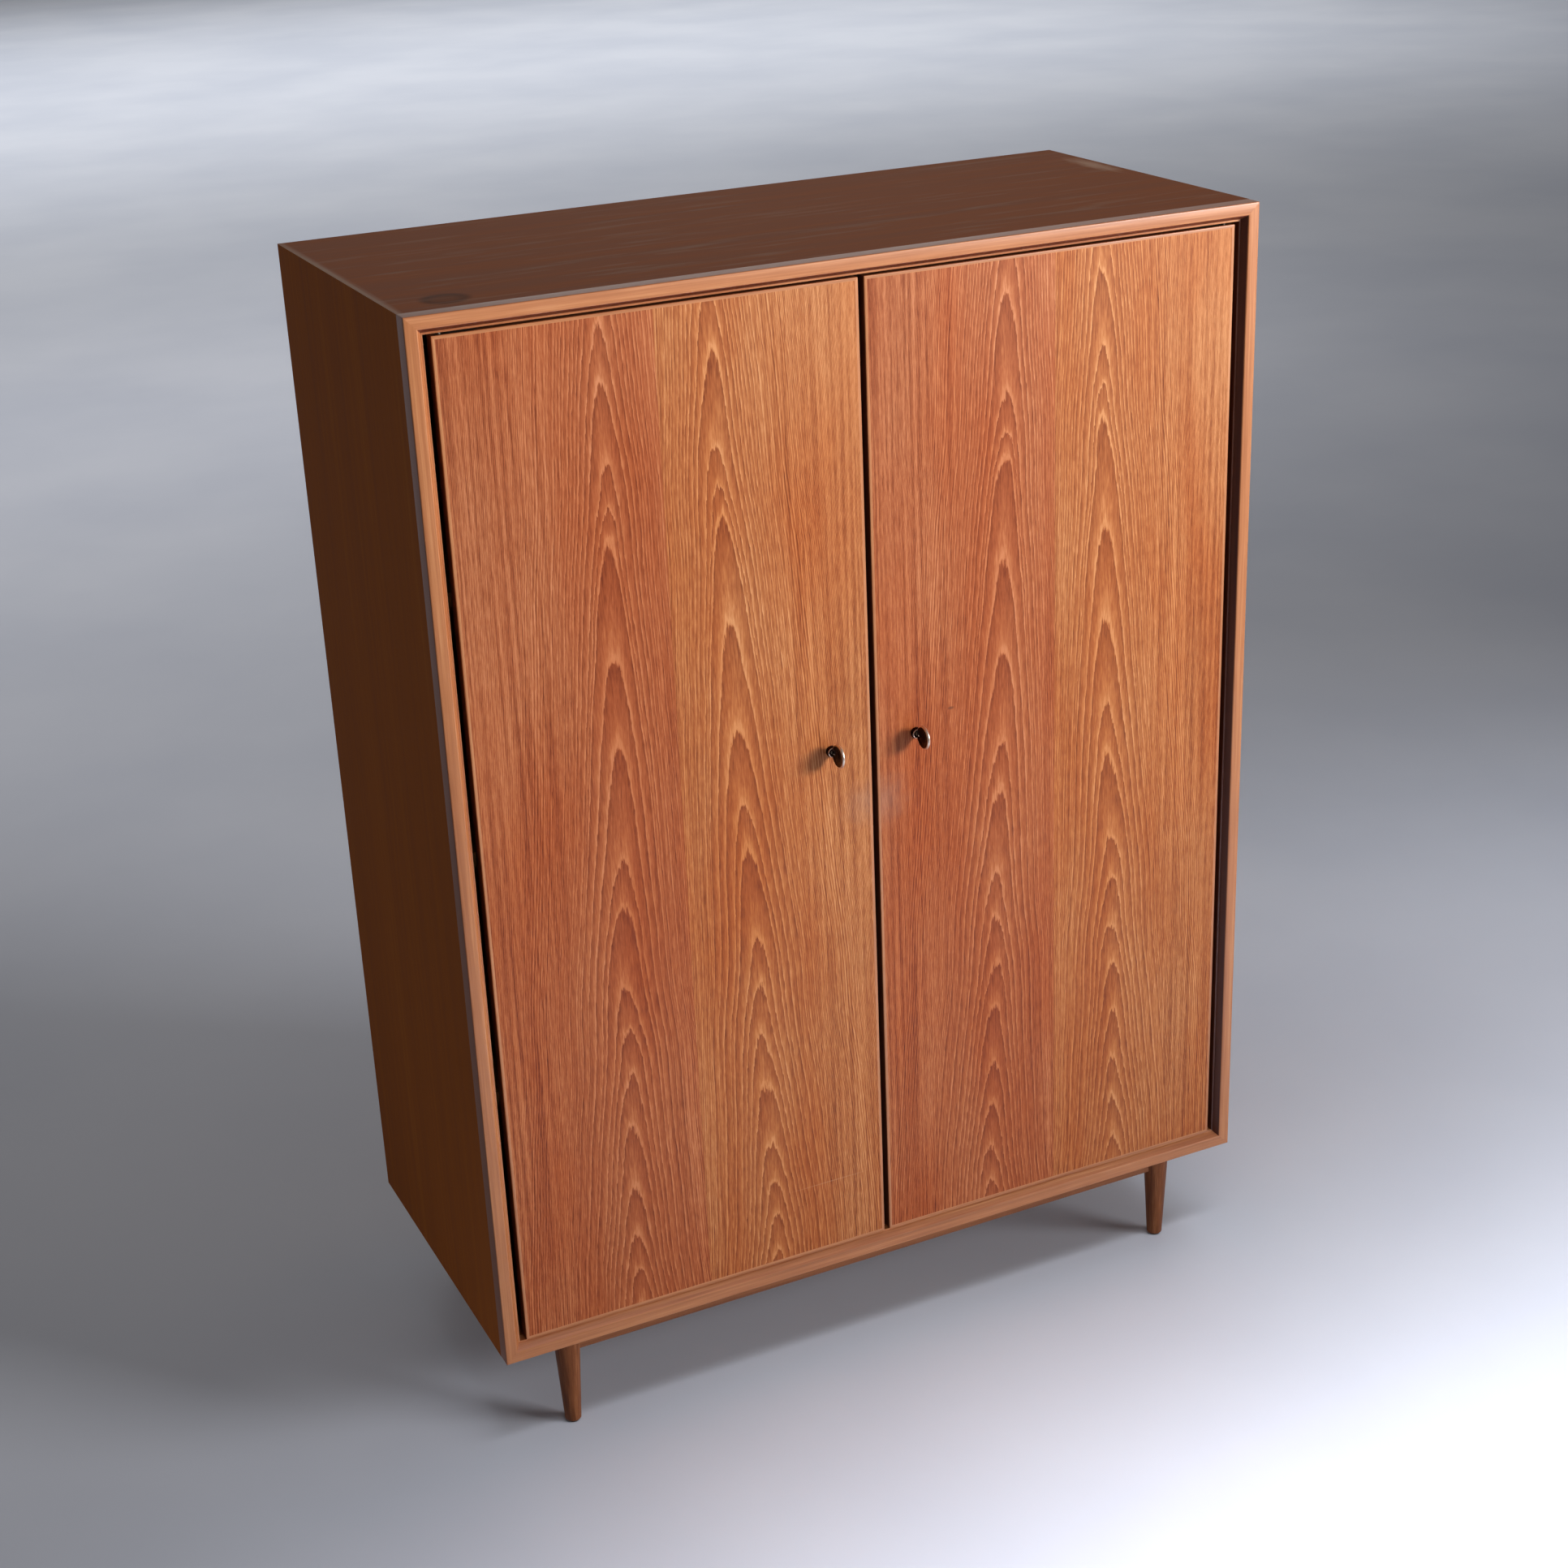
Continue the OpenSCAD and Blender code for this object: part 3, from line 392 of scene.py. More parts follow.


# %% [markdown]
# ## One door of teak veneer
# The parts are put together here: the two leaves, the rings, the tone turned into colour, the
# wear and the painted shade, and a satin finish. Both doors come from the same log, so the second
# door only starts at another height in the stack of rings.

# %% Teak veneer for one door
def door_veneer(name, middle, slip):
    """Book-matched teak for the door whose seam is at x = middle; slip moves its rings along."""
    material, tree, shader = new_material(name)
    mm = object_mm(tree)
    axes = add(tree, "ShaderNodeSeparateXYZ", {0: mm.outputs[0]})

    # the two leaves: distance from the seam, and which leaf this is
    from_seam = add(tree, "ShaderNodeMath", {0: axes.outputs["X"], 1: middle}, operation="SUBTRACT")
    leaf = add(tree, "ShaderNodeMath", {0: from_seam.outputs[0], 1: 0.0}, operation="GREATER_THAN")
    across = add(tree, "ShaderNodeMath", {0: from_seam.outputs[0]}, operation="ABSOLUTE")
    height = add(tree, "ShaderNodeMath", {0: axes.outputs["Z"], 1: door_low}, operation="SUBTRACT")
    flat = add(tree, "ShaderNodeCombineXYZ", {
        "X": across.outputs[0], "Y": leaf.outputs[0], "Z": height.outputs[0]})
    ring, off_heart = leaf_rings(tree, across, leaf, height, flat, slip)
    tone = leaf_tone(tree, ring, off_heart, flat)
    colour = add(tree, "ShaderNodeValToRGB", {0: tone.outputs[0]})
    set_ramp(colour, [(0.12, "#71361c"), (0.34, "#95552e"), (0.50, "#a9663a"), (0.66, "#bb7a4a"),
                      (0.92, "#d39a69")])

    # slow clouds of redder and yellower wood, and a slightly duller first leaf
    cloud = add(tree, "ShaderNodeMapping", {
        "Vector": flat.outputs[0], "Scale": (1 / 95, 4.0, 1 / 420), "Location": (slip, 1.0, 2.0)})
    cloud = add(tree, "ShaderNodeTexNoise", {
        "Vector": cloud.outputs[0], "Scale": 1.0, "Detail": 2.0})
    cloud = add(tree, "ShaderNodeMapRange", {
        0: cloud.outputs[0], 1: 0.35, 2: 0.68, 3: 0.0, 4: 1.0})
    warm = lay_over(tree, cloud.outputs[0], colour.outputs[0], "#efd2b4", 1.0, "MULTIPLY")
    other = add(tree, "ShaderNodeMath", {0: 1.0, 1: leaf.outputs[0]}, operation="SUBTRACT")
    dull = lay_over(tree, other.outputs[0], warm, "#f3e0e6", 1.0, "MULTIPLY")
    finish, handled = door_wear_and_shade(tree, mm, height, dull)
    tree.links.new(finish, shader.inputs["Base Color"])

    # oiled and rubbed: satin, a little glossier on the hard dark wood, duller where handled
    gloss = add(tree, "ShaderNodeMapRange", {0: tone.outputs[0], 1: 0.1, 2: 0.9, 3: 0.40, 4: 0.52})
    gloss = add(tree, "ShaderNodeMath", {0: handled.outputs[0], 1: 0.12, 2: gloss.outputs[0]},
                operation="MULTIPLY_ADD")
    tree.links.new(gloss.outputs[0], shader.inputs["Roughness"])
    relief = add(tree, "ShaderNodeBump", {"Height": tone.outputs[0], "Strength": 0.18,
                                          "Distance": 0.0004})
    tree.links.new(relief.outputs[0], shader.inputs["Normal"])
    shader.inputs["Specular IOR Level"].default_value = 0.2
    return material


left_door_teak = door_veneer("oiled_teak_veneer_left_door", -leaf_seam, 0.0)
right_door_teak = door_veneer("oiled_teak_veneer_right_door", leaf_seam, 34.0)
dress(["left_door_panel"], left_door_teak)
dress(["right_door_panel"], right_door_teak)
print("door veneers:", left_door_teak.name, "and", right_door_teak.name)

# %% [markdown]
# ## Straight-grained teak
# The case sides, the mouldings, the lippings and the legs are cut with the rings nearly square
# to the face, so they show long straight streaks. Stretching a noise along the grain gives
# those streaks, and one function serves every direction and shade of board.

# %% Straight-grained teak in any direction
def straight_grain(name, along, shades, streak_mm=6.0, sheen=(0.40, 0.55), seed=0.0, shine=0.3):
    """Wood with its grain along one axis, from four shades; sheen is its range of roughness."""
    material, tree, shader = new_material(name)
    place = add(tree, "ShaderNodeTexCoord")
    # everything is 55 times as long along the grain as across it
    stretch = [1.0, 1.0, 1.0]
    stretch["XYZ".index(along)] = 1 / 55
    layers = []
    # fine streaks, broad bands, and pores drawn at 1.7 mm, coarser than the real 0.3 mm
    for width, detail, shift in ((streak_mm, 3.0, 0.0), (streak_mm * 4.5, 2.0, 5.0), (1.7, 2.0, 9.0)):
        scale = [s * MM / width for s in stretch]
        spread = add(tree, "ShaderNodeMapping", {
            "Vector": place.outputs["Object"], "Scale": scale,
            "Location": (seed + shift, seed * 2 + shift, seed * 3 + shift)})
        layers.append(add(tree, "ShaderNodeTexNoise", {
            "Vector": spread.outputs[0], "Scale": 1.0, "Detail": detail, "Roughness": 0.6}))
    tone = add(tree, "ShaderNodeMath", {0: layers[0].outputs[0], 1: 0.8,
                                        2: -0.55}, operation="MULTIPLY_ADD")
    tone = add(tree, "ShaderNodeMath", {0: layers[1].outputs[0], 1: 0.8,
                                        2: tone.outputs[0]}, operation="MULTIPLY_ADD")
    tone = add(tree, "ShaderNodeMath", {0: layers[2].outputs[0], 1: 0.5,
                                        2: tone.outputs[0]}, operation="MULTIPLY_ADD")
    colour = add(tree, "ShaderNodeValToRGB", {0: tone.outputs[0]})
    set_ramp(colour, list(zip((0.14, 0.38, 0.60, 0.85), shades)))
    # outer edges are made paler, partly rubbed wear and partly a painted highlight on the arris;
    # pointiness finds them, as it is above 0.5 on outer edges
    edge = add(tree, "ShaderNodeNewGeometry")
    edge = add(tree, "ShaderNodeMapRange", {0: edge.outputs["Pointiness"], 1: 0.53, 2: 0.62, 3: 0.0,
                                            4: 1.0})
    rubbed = lay_over(tree, edge.outputs[0], colour.outputs[0], shades[3], 0.55)
    tree.links.new(rubbed, shader.inputs["Base Color"])
    gloss = add(tree, "ShaderNodeMapRange", {0: tone.outputs[0], 1: 0.1, 2: 0.9, 3: sheen[0],
                                             4: sheen[1]})
    tree.links.new(gloss.outputs[0], shader.inputs["Roughness"])
    relief = add(tree, "ShaderNodeBump", {"Height": tone.outputs[0], "Strength": 0.2,
                                          "Distance": 0.0004})
    tree.links.new(relief.outputs[0], shader.inputs["Normal"])
    shader.inputs["Specular IOR Level"].default_value = shine
    return material


# four shades from the dark streaks to the pale edges, which are partly wear and
# partly painted highlight
case_shades = ("#5a290d", "#763913", "#8a481d", "#9f5b2b")
side_shades = ("#652b0b", "#823d10", "#964d18", "#ac6328")
top_shades = ("#4f230c", "#653014", "#783d1b", "#8c4f29")
solid_shades = ("#7f4527", "#9c5a33", "#b06e43", "#c98d5f")
leg_shades = ("#532a13", "#6e3c1e", "#834d2a", "#9c6541")
inside_shades = ("#8f6238", "#a97748", "#bb8a59", "#cc9f6e")

# the sides have lost their oil and are nearly matt: even and dark, without a highlight
side_teak = straight_grain(
    "oiled_teak_veneer_side", "Z", side_shades, 9.0, (0.66, 0.8), shine=0.05)
case_teak = straight_grain("oiled_teak_veneer_bottom", "X", case_shades, 11.0, seed=3.0)
# solid teak that hands and dusters have polished: satin, with a soft line of light on its edges
upright_teak = straight_grain(
    "oiled_solid_teak_upright", "Z", solid_shades, 5.0, (0.30, 0.42), 7.0, 0.45)
cross_teak = straight_grain(
    "oiled_solid_teak_cross", "X", solid_shades, 5.0, (0.30, 0.42), 11.0, 0.5)
lip_upright = straight_grain(
    "rubbed_teak_lipping_upright", "Z", solid_shades, 4.0, (0.3, 0.4), 37.0, 0.5)
lip_cross = straight_grain(
    "rubbed_teak_lipping_cross", "X", solid_shades, 4.0, (0.3, 0.4), 41.0, 0.5)
# the base sits in shade and dust: the same teak, darker and with little shine
rail_teak = straight_grain("oiled_solid_teak_rail", "Y", leg_shades, 4.0, seed=13.0)
frame_teak = straight_grain("oiled_solid_teak_base_rail", "X", leg_shades, 4.0, seed=17.0)
leg_teak = straight_grain("oiled_solid_teak_leg", "Z", leg_shades, 3.0, seed=19.0, shine=0.2)
dress(["left_side", "right_side"], side_teak)
dress(["bottom_panel"], case_teak)
dress(["left_moulding", "right_moulding", "left_door_lippings", "right_door_lippings"],
      upright_teak)
dress(["top_moulding", "bottom_moulding"], cross_teak)
dress(["front_rail", "back_rail"], frame_teak)
dress(["left_rail", "right_rail"], rail_teak)

# %% [markdown]
# ## Aged faces and painted shade on the mouldings and the door edges
# Solid edges age differently from the faces beside them, and some of their faces are given painted
# shade. Where a face lies is known from the boxes of the parts, so a colour can be kept to one face
# by its distance from the outside.

# %% Aged faces and painted shade on the mouldings and the door edges
case_low = Vector(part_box("left_side")[0])
case_high = Vector(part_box("right_side")[1])
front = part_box("left_moulding")[0][1]
door_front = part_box("left_door_lippings")[0][1]

# painted shade: behind their rubbed front arris the lippings are darkened, so the gaps round the
# doors read dark
arris_end = door_front * MM + 1.2
for teak in (lip_upright, lip_cross):
    tree = teak.node_tree
    shader = tree.nodes["Principled BSDF"]
    axes = add(tree, "ShaderNodeSeparateXYZ", {0: object_mm(tree).outputs[0]})
    edge = add(tree, "ShaderNodeMapRange", {
        0: axes.outputs["Y"], 1: arris_end, 2: arris_end + 0.8, 3: 0.0, 4: 1.0})
    finish = lay_over(tree, edge.outputs[0], current_colour(shader), "#5a342a", 0.85, "MULTIPLY")
    tree.links.new(finish, shader.inputs["Base Color"])

# a moulding has aged like the board it is flush with, so its outer face is as dark as the case;
# two bevels get painted shade: the one under the top edge, and the right-hand one,
# each given by where it starts and stops in mm from the outside of the case; the colour of the
# painted shade is the last entry of each row
moulding_age_and_bevel_shade = (
    (upright_teak, "X", case_high.x * MM, side_shades[1], (16.4, 25.0), "#5c2c24"),
    (cross_teak, "Z", case_high.z * MM, top_shades[2], (15.7, 21.8), "#86463a"),
)
for teak, axis, outside, aged, bevel_mm, oiled in moulding_age_and_bevel_shade:
    tree = teak.node_tree
    shader = tree.nodes["Principled BSDF"]
    axes = add(tree, "ShaderNodeSeparateXYZ", {0: object_mm(tree).outputs[0]})
    out = add(tree, "ShaderNodeMath", {0: axes.outputs[axis]}, operation="ABSOLUTE")
    out = add(tree, "ShaderNodeMapRange", {
        0: out.outputs[0], 1: outside - 0.7, 2: outside - 0.2, 3: 0.0, 4: 1.0})
    behind = add(tree, "ShaderNodeMapRange", {
        0: axes.outputs["Y"], 1: front * MM + 0.3, 2: front * MM + 1.4, 3: 0.0, 4: 1.0})
    mask = add(tree, "ShaderNodeMath", {0: out.outputs[0], 1: behind.outputs[0]},
               operation="MULTIPLY")
    finish = lay_over(tree, mask.outputs[0], current_colour(shader), aged, 0.85)
    start, stop = (outside - distance for distance in bevel_mm)
    outer = add(tree, "ShaderNodeMapRange", {
        0: axes.outputs[axis], 1: start, 2: start - 0.7, 3: 0.0, 4: 1.0})
    inner = add(tree, "ShaderNodeMapRange", {
        0: axes.outputs[axis], 1: stop - 0.3, 2: stop, 3: 0.0, 4: 1.0})
    bevel = add(tree, "ShaderNodeMath", {0: outer.outputs[0], 1: inner.outputs[0]},
                operation="MULTIPLY")
    # painted shade on the bevel, multiplied into its colour
    finish = lay_over(tree, bevel.outputs[0], finish, oiled, 0.9, "MULTIPLY")
    tree.links.new(finish, shader.inputs["Base Color"])
print("dark outer faces from", round(front * MM + 0.3, 1), "mm back")

# %% [markdown]
# ## The pale lining
# The lining of the case was kept paler than its outside: an even-grained veneer, lightly waxed,
# which throws daylight about inside. The front edge of the partition is painted near black as
# painted shade, so that the gap between the closed doors reads black.

# %% Lining, shelves and partition
waxed = (0.5, 0.62)
lining_upright = straight_grain(
    "waxed_pale_veneer_upright", "Z", inside_shades, 7.0, waxed, 23.0)
lining_level = straight_grain("waxed_pale_veneer_level", "X", inside_shades, 7.0, waxed, 29.0)
batten_wood = straight_grain("waxed_pale_batten", "Y", inside_shades, 4.0, waxed, 31.0)
partition_wood = straight_grain(
    "waxed_pale_veneer_partition", "Z", inside_shades, 7.0, waxed, 43.0)
tree = partition_wood.node_tree
shader = tree.nodes["Principled BSDF"]
axes = add(tree, "ShaderNodeSeparateXYZ", {0: object_mm(tree).outputs[0]})
front_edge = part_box("partition")[0][1] * MM
# painted shade: the front edge of the partition is darkened to near black
painted_gap_shade = add(tree, "ShaderNodeMapRange", {
    0: axes.outputs["Y"], 1: front_edge + 12.0, 2: front_edge + 10.0, 3: 0.0, 4: 1.0})
finish = lay_over(tree, painted_gap_shade.outputs[0], current_colour(shader), "#1d0d06", 0.92)
tree.links.new(finish, shader.inputs["Base Color"])
dress(["back_panel"], lining_upright)
dress(["partition"], partition_wood)
dress(["shelf_1", "shelf_2", "shelf_3", "hat_shelf", "base_dowels"], lining_level)
dress(["hat_shelf_battens"], batten_wood)
print("woods:", len([m for m in bpy.data.materials if "teak" in m.name or "waxed" in m.name]))

# %% [markdown]
# ## The top, with its marks
# The top has had things stood on it: a dark ring from a wet pot, a pale rubbed end, and long
# dry streaks where the oil has gone. The veneer is the same straight-grained teak, a little
# darker, and the marks are laid over it, each one a soft mask in millimetres.

# %% Marks on the top
top_teak = straight_grain("oiled_teak_veneer_top", "X", top_shades, 11.0, (0.60, 0.74), 3.0, 0.1)
tree = top_teak.node_tree
shader = tree.nodes["Principled BSDF"]
mm = object_mm(tree)
# the ring of a wet pot: dark, with a drier middle
wet = soft_spot(tree, mm.outputs[0], (-511, -179, 1579), (36, 34, 90), 0.62, 0.08)
dry = soft_spot(tree, mm.outputs[0], (-511, -179, 1579), (27, 25, 90), 0.30, 0.12)
ring = add(tree, "ShaderNodeMath", {0: dry.outputs[0], 1: -0.45, 2: wet.outputs[0]},
           operation="MULTIPLY_ADD")
finish = lay_over(tree, ring.outputs[0], current_colour(shader), "#2c1a12", 0.62)
# streaks along the grain where the oil has dried out
streaks = add(tree, "ShaderNodeMapping", {
    "Vector": mm.outputs[0], "Scale": (1 / 150, 1 / 16, 1 / 60), "Location": (4.0, 2.0, 0.0)})
streaks = add(tree, "ShaderNodeTexNoise", {
    "Vector": streaks.outputs[0], "Scale": 1.0, "Detail": 3.0})
streaks = add(tree, "ShaderNodeMapRange", {
    0: streaks.outputs[0], 1: 0.56, 2: 0.72, 3: 0.0, 4: 1.0})
finish = lay_over(tree, streaks.outputs[0], finish, "#8d7261", 0.40)
# the left end and the rear right corner are rubbed pale
worn_end = soft_spot(tree, mm.outputs[0], (-584, 0, 1579), (11, 600, 40), 0.2)
finish = lay_over(tree, worn_end.outputs[0], finish, "#a59384", 0.55)
scuff = soft_spot(tree, mm.outputs[0], (566, 130, 1579), (22, 90, 40), 0.1, 0.4)
finish = lay_over(tree, scuff.outputs[0], finish, "#c3a48c", 0.5)
tree.links.new(finish, shader.inputs["Base Color"])
dress(["top_panel"], top_teak)
print("marks on the top: ring, dry streaks, rubbed end, scuff")

# %% [markdown]
# ## Metals and plastic
# Dark bronze is bronze with a brown-black skin that fingers rub through where they grip, so the
# skin is thick in the hollows and thin on the rim. Plated steel is bright but cloudy, the tube
# is chromed and nearly a mirror, and the bolts are drawn brass with fine lines along them.

# %% Metals and plastic
def metal(name, code, dark, roughness, grain, seed=0.0, relief=0.15):
    """A metal with cloudy tarnish, fine lines and uneven gloss; grain is three scales in mm."""
    material, tree, shader = new_material(name)
    mm = object_mm(tree)
    cloudy = add(tree, "ShaderNodeTexNoise", {"Vector": mm.outputs[0], "Scale": 0.11, "Detail": 4.0})
    drawn = add(tree, "ShaderNodeMapping", {
        "Vector": mm.outputs[0], "Scale": [1 / g for g in grain], "Location": (seed, seed, seed)})
    drawn = add(tree, "ShaderNodeTexNoise", {
        "Vector": drawn.outputs[0], "Scale": 1.0, "Detail": 3.0})
    tarnish = add(tree, "ShaderNodeMapRange", {
        0: cloudy.outputs[0], 1: 0.38, 2: 0.70, 3: 0.0, 4: 0.55})
    colour = add(tree, "ShaderNodeMix", {
        0: tarnish.outputs[0], 6: hex_colour(code), 7: hex_colour(dark)}, data_type="RGBA")
    tree.links.new(colour.outputs[2], shader.inputs["Base Color"])
    shader.inputs["Metallic"].default_value = 1.0
    gloss = add(tree, "ShaderNodeMapRange", {
        0: drawn.outputs[0], 1: 0.3, 2: 0.7, 3: roughness * 0.8, 4: roughness * 1.3})
    tree.links.new(gloss.outputs[0], shader.inputs["Roughness"])
    bump = add(tree, "ShaderNodeBump", {
        "Height": drawn.outputs[0], "Strength": relief, "Distance": 0.0001})
    tree.links.new(bump.outputs[0], shader.inputs["Normal"])
    return material


# hinge steel has gone grey-brown and hardly shines; plated steel gives a pale, cloudy glint
dull_steel = metal("oxidised_steel", "#5f574f", "#37312c", 0.45, (1.5, 1.5, 1.5), 2.0)
steel = metal("zinc_plated_steel", "#b4b5b2", "#8b8a82", 0.34, (1.2, 1.2, 1.2))
# the tube mirrors the room as one bright line; the brass is warmer and drawn out along the bolt
chrome = metal("chromed_steel_tube", "#cfd1d2", "#b5b7b8", 0.12, (60.0, 0.8, 0.8), 3.0, 0.05)
brass = metal("drawn_brass", "#b9924f", "#8a6a38", 0.30, (30.0, 0.6, 0.6), 5.0)
# nearly black from most sides, with a small hard highlight
bronze = metal("dark_patinated_bronze", "#2f1612", "#170c0a", 0.16, (1.5, 1.5, 1.5), 7.0)
metals = (dull_steel, steel, chrome, brass, bronze)
print("metals:", ", ".join(m.name for m in metals))

# %% [markdown]
# ## The rubbed rim of the key bows
# Fingers and pockets rub the dark skin off the rim of a key first. The distance of a point from
# the middle of the bow tells the rim from the web, and both bows lie at the same height.

# %% The rubbed rim of the key bows
rim_start, rim_end, bow_reach = 13.6, 15.0, 17.0  # mm from the centre of a bow
tree = bronze.node_tree
shader = tree.nodes["Principled BSDF"]
bow_low, bow_high = (Vector(corner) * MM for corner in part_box("left_key_bow"))
hub = (bow_low + bow_high) / 2
spoke = add(tree, "ShaderNodeVectorMath", {
    0: object_mm(tree).outputs[0], 1: (0.0, -hub.y, -hub.z)}, operation="ADD")
spoke = add(tree, "ShaderNodeVectorMath", {0: spoke.outputs[0], 1: (0.0, 1.0, 1.0)},
            operation="MULTIPLY")
spoke = add(tree, "ShaderNodeVectorMath", {0: spoke.outputs[0]}, operation="LENGTH")
outer = add(tree, "ShaderNodeMapRange", {
    0: spoke.outputs["Value"], 1: rim_start, 2: rim_end, 3: 0.0, 4: 1.0})
inside = add(tree, "ShaderNodeMath", {0: spoke.outputs["Value"], 1: bow_reach},
             operation="LESS_THAN")
rim_mask = add(tree, "ShaderNodeMath", {0: outer.outputs[0], 1: inside.outputs[0]},
               operation="MULTIPLY")
finish = lay_over(tree, rim_mask.outputs[0], current_colour(shader), "#f0dccb", 0.85)
tree.links.new(finish, shader.inputs["Base Color"])
# rubbed metal is bright but finely scratched, so its highlight is broader
gloss = shader.inputs["Roughness"].links[0].from_socket
rougher = add(tree, "ShaderNodeMath", {0: rim_mask.outputs[0], 1: 0.16, 2: gloss},
              operation="MULTIPLY_ADD")
tree.links.new(rougher.outputs[0], shader.inputs["Roughness"])
print("rubbed rim from", rim_start, "mm of a bow with radius", round((bow_high - hub).z, 1), "mm")

# %% [markdown]
# ## Glides and fittings
# The legs stand on small plastic glides. Then every metal part gets its material by name.

# %% Plastic glides, and a material for every metal part
# moulded plastic: brown, dull and slightly grained
glide_plastic, tree, shader = new_material("brown_glide_plastic")
place = add(tree, "ShaderNodeTexCoord")
fleck = add(tree, "ShaderNodeTexNoise", {
    "Vector": place.outputs["Object"], "Scale": 700.0, "Detail": 3.0})
tone = add(tree, "ShaderNodeValToRGB", {0: fleck.outputs[0]})
set_ramp(tone, [(0.35, "#2e211a"), (0.65, "#43342a")])
tree.links.new(tone.outputs[0], shader.inputs["Base Color"])
gloss = add(tree, "ShaderNodeMapRange", {0: fleck.outputs[0], 1: 0.3, 2: 0.7, 3: 0.42, 4: 0.6})
tree.links.new(gloss.outputs[0], shader.inputs["Roughness"])
bump = add(tree, "ShaderNodeBump", {"Height": fleck.outputs[0], "Strength": 0.2, "Distance": 0.0001})
tree.links.new(bump.outputs[0], shader.inputs["Normal"])

dress(["leg_glides"], glide_plastic)
dress(["hanging_rail"], chrome)
dress(["back_screws", "shelf_pins", "rail_sockets", "socket_screws", "strike_plates", "strike_screws",
       "base_screws"], steel)
dress(["case_pivot_plates", "case_pivot_screws"], dull_steel)
for side in ("left_", "right_"):
    dress([side + part for part in ("door_plates", "door_screws")], dull_steel)
    dress([side + part for part in ("lock_case", "lock_cover", "lock_screws", "follower")], steel)
    dress([side + part for part in ("collar", "key_bow", "key_shank")], bronze)
    dress([side + "bolt"], brass)
print("materials so far:", len(bpy.data.materials))

# %% [markdown]
# ## Mitred bars: mouldings and lippings
# The front moulding is one section run round the case and mitred at the corners, and the door
# lippings are the same idea in small. A bar is therefore made from its section: the section is
# placed again and again along the bar, and each point starts as far in as it lies from the
# outer edge, which is exactly what a 45 degree cut does. Every arris is eased, as sandpaper and
# sixty years of hands leave it, because it is the eased edge that catches the light.

# %% Rounded sections and finished meshes
def eased(corners, steps=4):
    """Rounds each corner (across, depth, radius) of a closed section; radius 0 stays sharp."""
    rounded = []
    for i, (x, y, radius) in enumerate(corners):
        here = Vector((x, y))
        if radius == 0:
            rounded.append(here)
            continue
        before = (Vector(corners[i - 1][:2]) - here).normalized() * radius
        after = (Vector(corners[(i + 1) % len(corners)][:2]) - here).normalized() * radius
        for k in range(steps + 1):
            t = k / steps
            rounded.append(here + before * (1 - t) ** 2 + after * t ** 2)
    return rounded


def finish_mesh(name, mesh_builder, material, body, node_names):
    """Turns a bmesh into a piece that rides on its body and stands for its nodes."""
    bmesh.ops.remove_doubles(mesh_builder, verts=mesh_builder.verts, dist=1e-6)
    bmesh.ops.dissolve_degenerate(mesh_builder, edges=mesh_builder.edges, dist=1e-7)
    bmesh.ops.recalc_face_normals(mesh_builder, faces=mesh_builder.faces)
    mesh = bpy.data.meshes.new(name)
    mesh_builder.to_mesh(mesh)
    mesh_builder.free()
    mesh.shade_smooth()
    mesh.set_sharp_from_angle(angle=math.radians(32))
    mesh.materials.append(material)
    piece = bpy.data.objects.new(name, mesh)
    scene.collection.objects.link(piece)
    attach(piece, body)
    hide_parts(*node_names)
    return piece


# %% Lofts and mitred bars
def add_loft(mesh_builder, sections, capped=True):
    """Skins closed sections of equal length and caps both ends, unless they form a ring."""
    rows = [[mesh_builder.verts.new(point) for point in section] for section in sections]
    count = len(rows[0])
    for row, next_row in zip(rows, rows[1:]):
        for i in range(count):
            j = (i + 1) % count
            mesh_builder.faces.new((row[i], row[j], next_row[j], next_row[i]))
    if capped:
        mesh_builder.faces.new(rows[0][::-1])
        mesh_builder.faces.new(rows[-1])


def add_mitred_bar(mesh_builder, start, end, inward, section, ease):
    """A bar from start to end along the outer edge; the section is (inward, depth) in metres."""
    start, end, inward = Vector(start), Vector(end), Vector(inward)
    run = (end - start).normalized()
    depth = Vector((0, 1, 0))
    # both ends are rounded too: five sections follow a quarter circle into the mitre
    cuts = [ease * share for share in (0.293, 0.45, 0.65, 0.82, 1.0)]
    sections = []
    for cut in cuts:
        edge = ease - math.sqrt(max(0.0, ease ** 2 - (ease - cut) ** 2))
        sections.append([(max(cut, w, edge), max(w, edge), d) for w, d in section])
    near = [[start + run * a + inward * w + depth * d for a, w, d in row] for row in sections]
    far = [[end - run * a + inward * w + depth * d for a, w, d in row] for row in sections]
    add_loft(mesh_builder, near + far[::-1])


# %% Seats for the hinge plates
def solids_of(node_name):
    """The vertices of each separate solid in a node, as lists of points."""
    builder = bmesh.new()
    builder.from_mesh(nodes[node_name].data)
    bmesh.ops.remove_doubles(builder, verts=builder.verts, dist=1e-6)
    left = set(builder.verts)
    groups = []
    while left:
        stack = [left.pop()]
        group = []
        while stack:
            vert = stack.pop()
            group.append(vert.co.copy())
            for edge in vert.link_edges:
                other = edge.other_vert(vert)
                if other in left:
                    left.remove(other)
                    stack.append(other)
        groups.append(group)
    builder.free()
    return groups


def cut_with(piece, mesh_builder):
    """Cuts the shape in a bmesh out of a piece, and uses the shape up."""
    bmesh.ops.recalc_face_normals(mesh_builder, faces=mesh_builder.faces)
    mesh = bpy.data.meshes.new("cutter")
    mesh_builder.to_mesh(mesh)
    mesh_builder.free()
    cutter = bpy.data.objects.new("cutter", mesh)
    scene.collection.objects.link(cutter)
    modifier = piece.modifiers.new("cut", "BOOLEAN")
    modifier.object = cutter
    modifier.operation = "DIFFERENCE"
    modifier.solver = "EXACT"
    with bpy.context.temp_override(object=piece, active_object=piece):
        bpy.ops.object.modifier_apply(modifier=modifier.name)
    bpy.data.objects.remove(cutter)


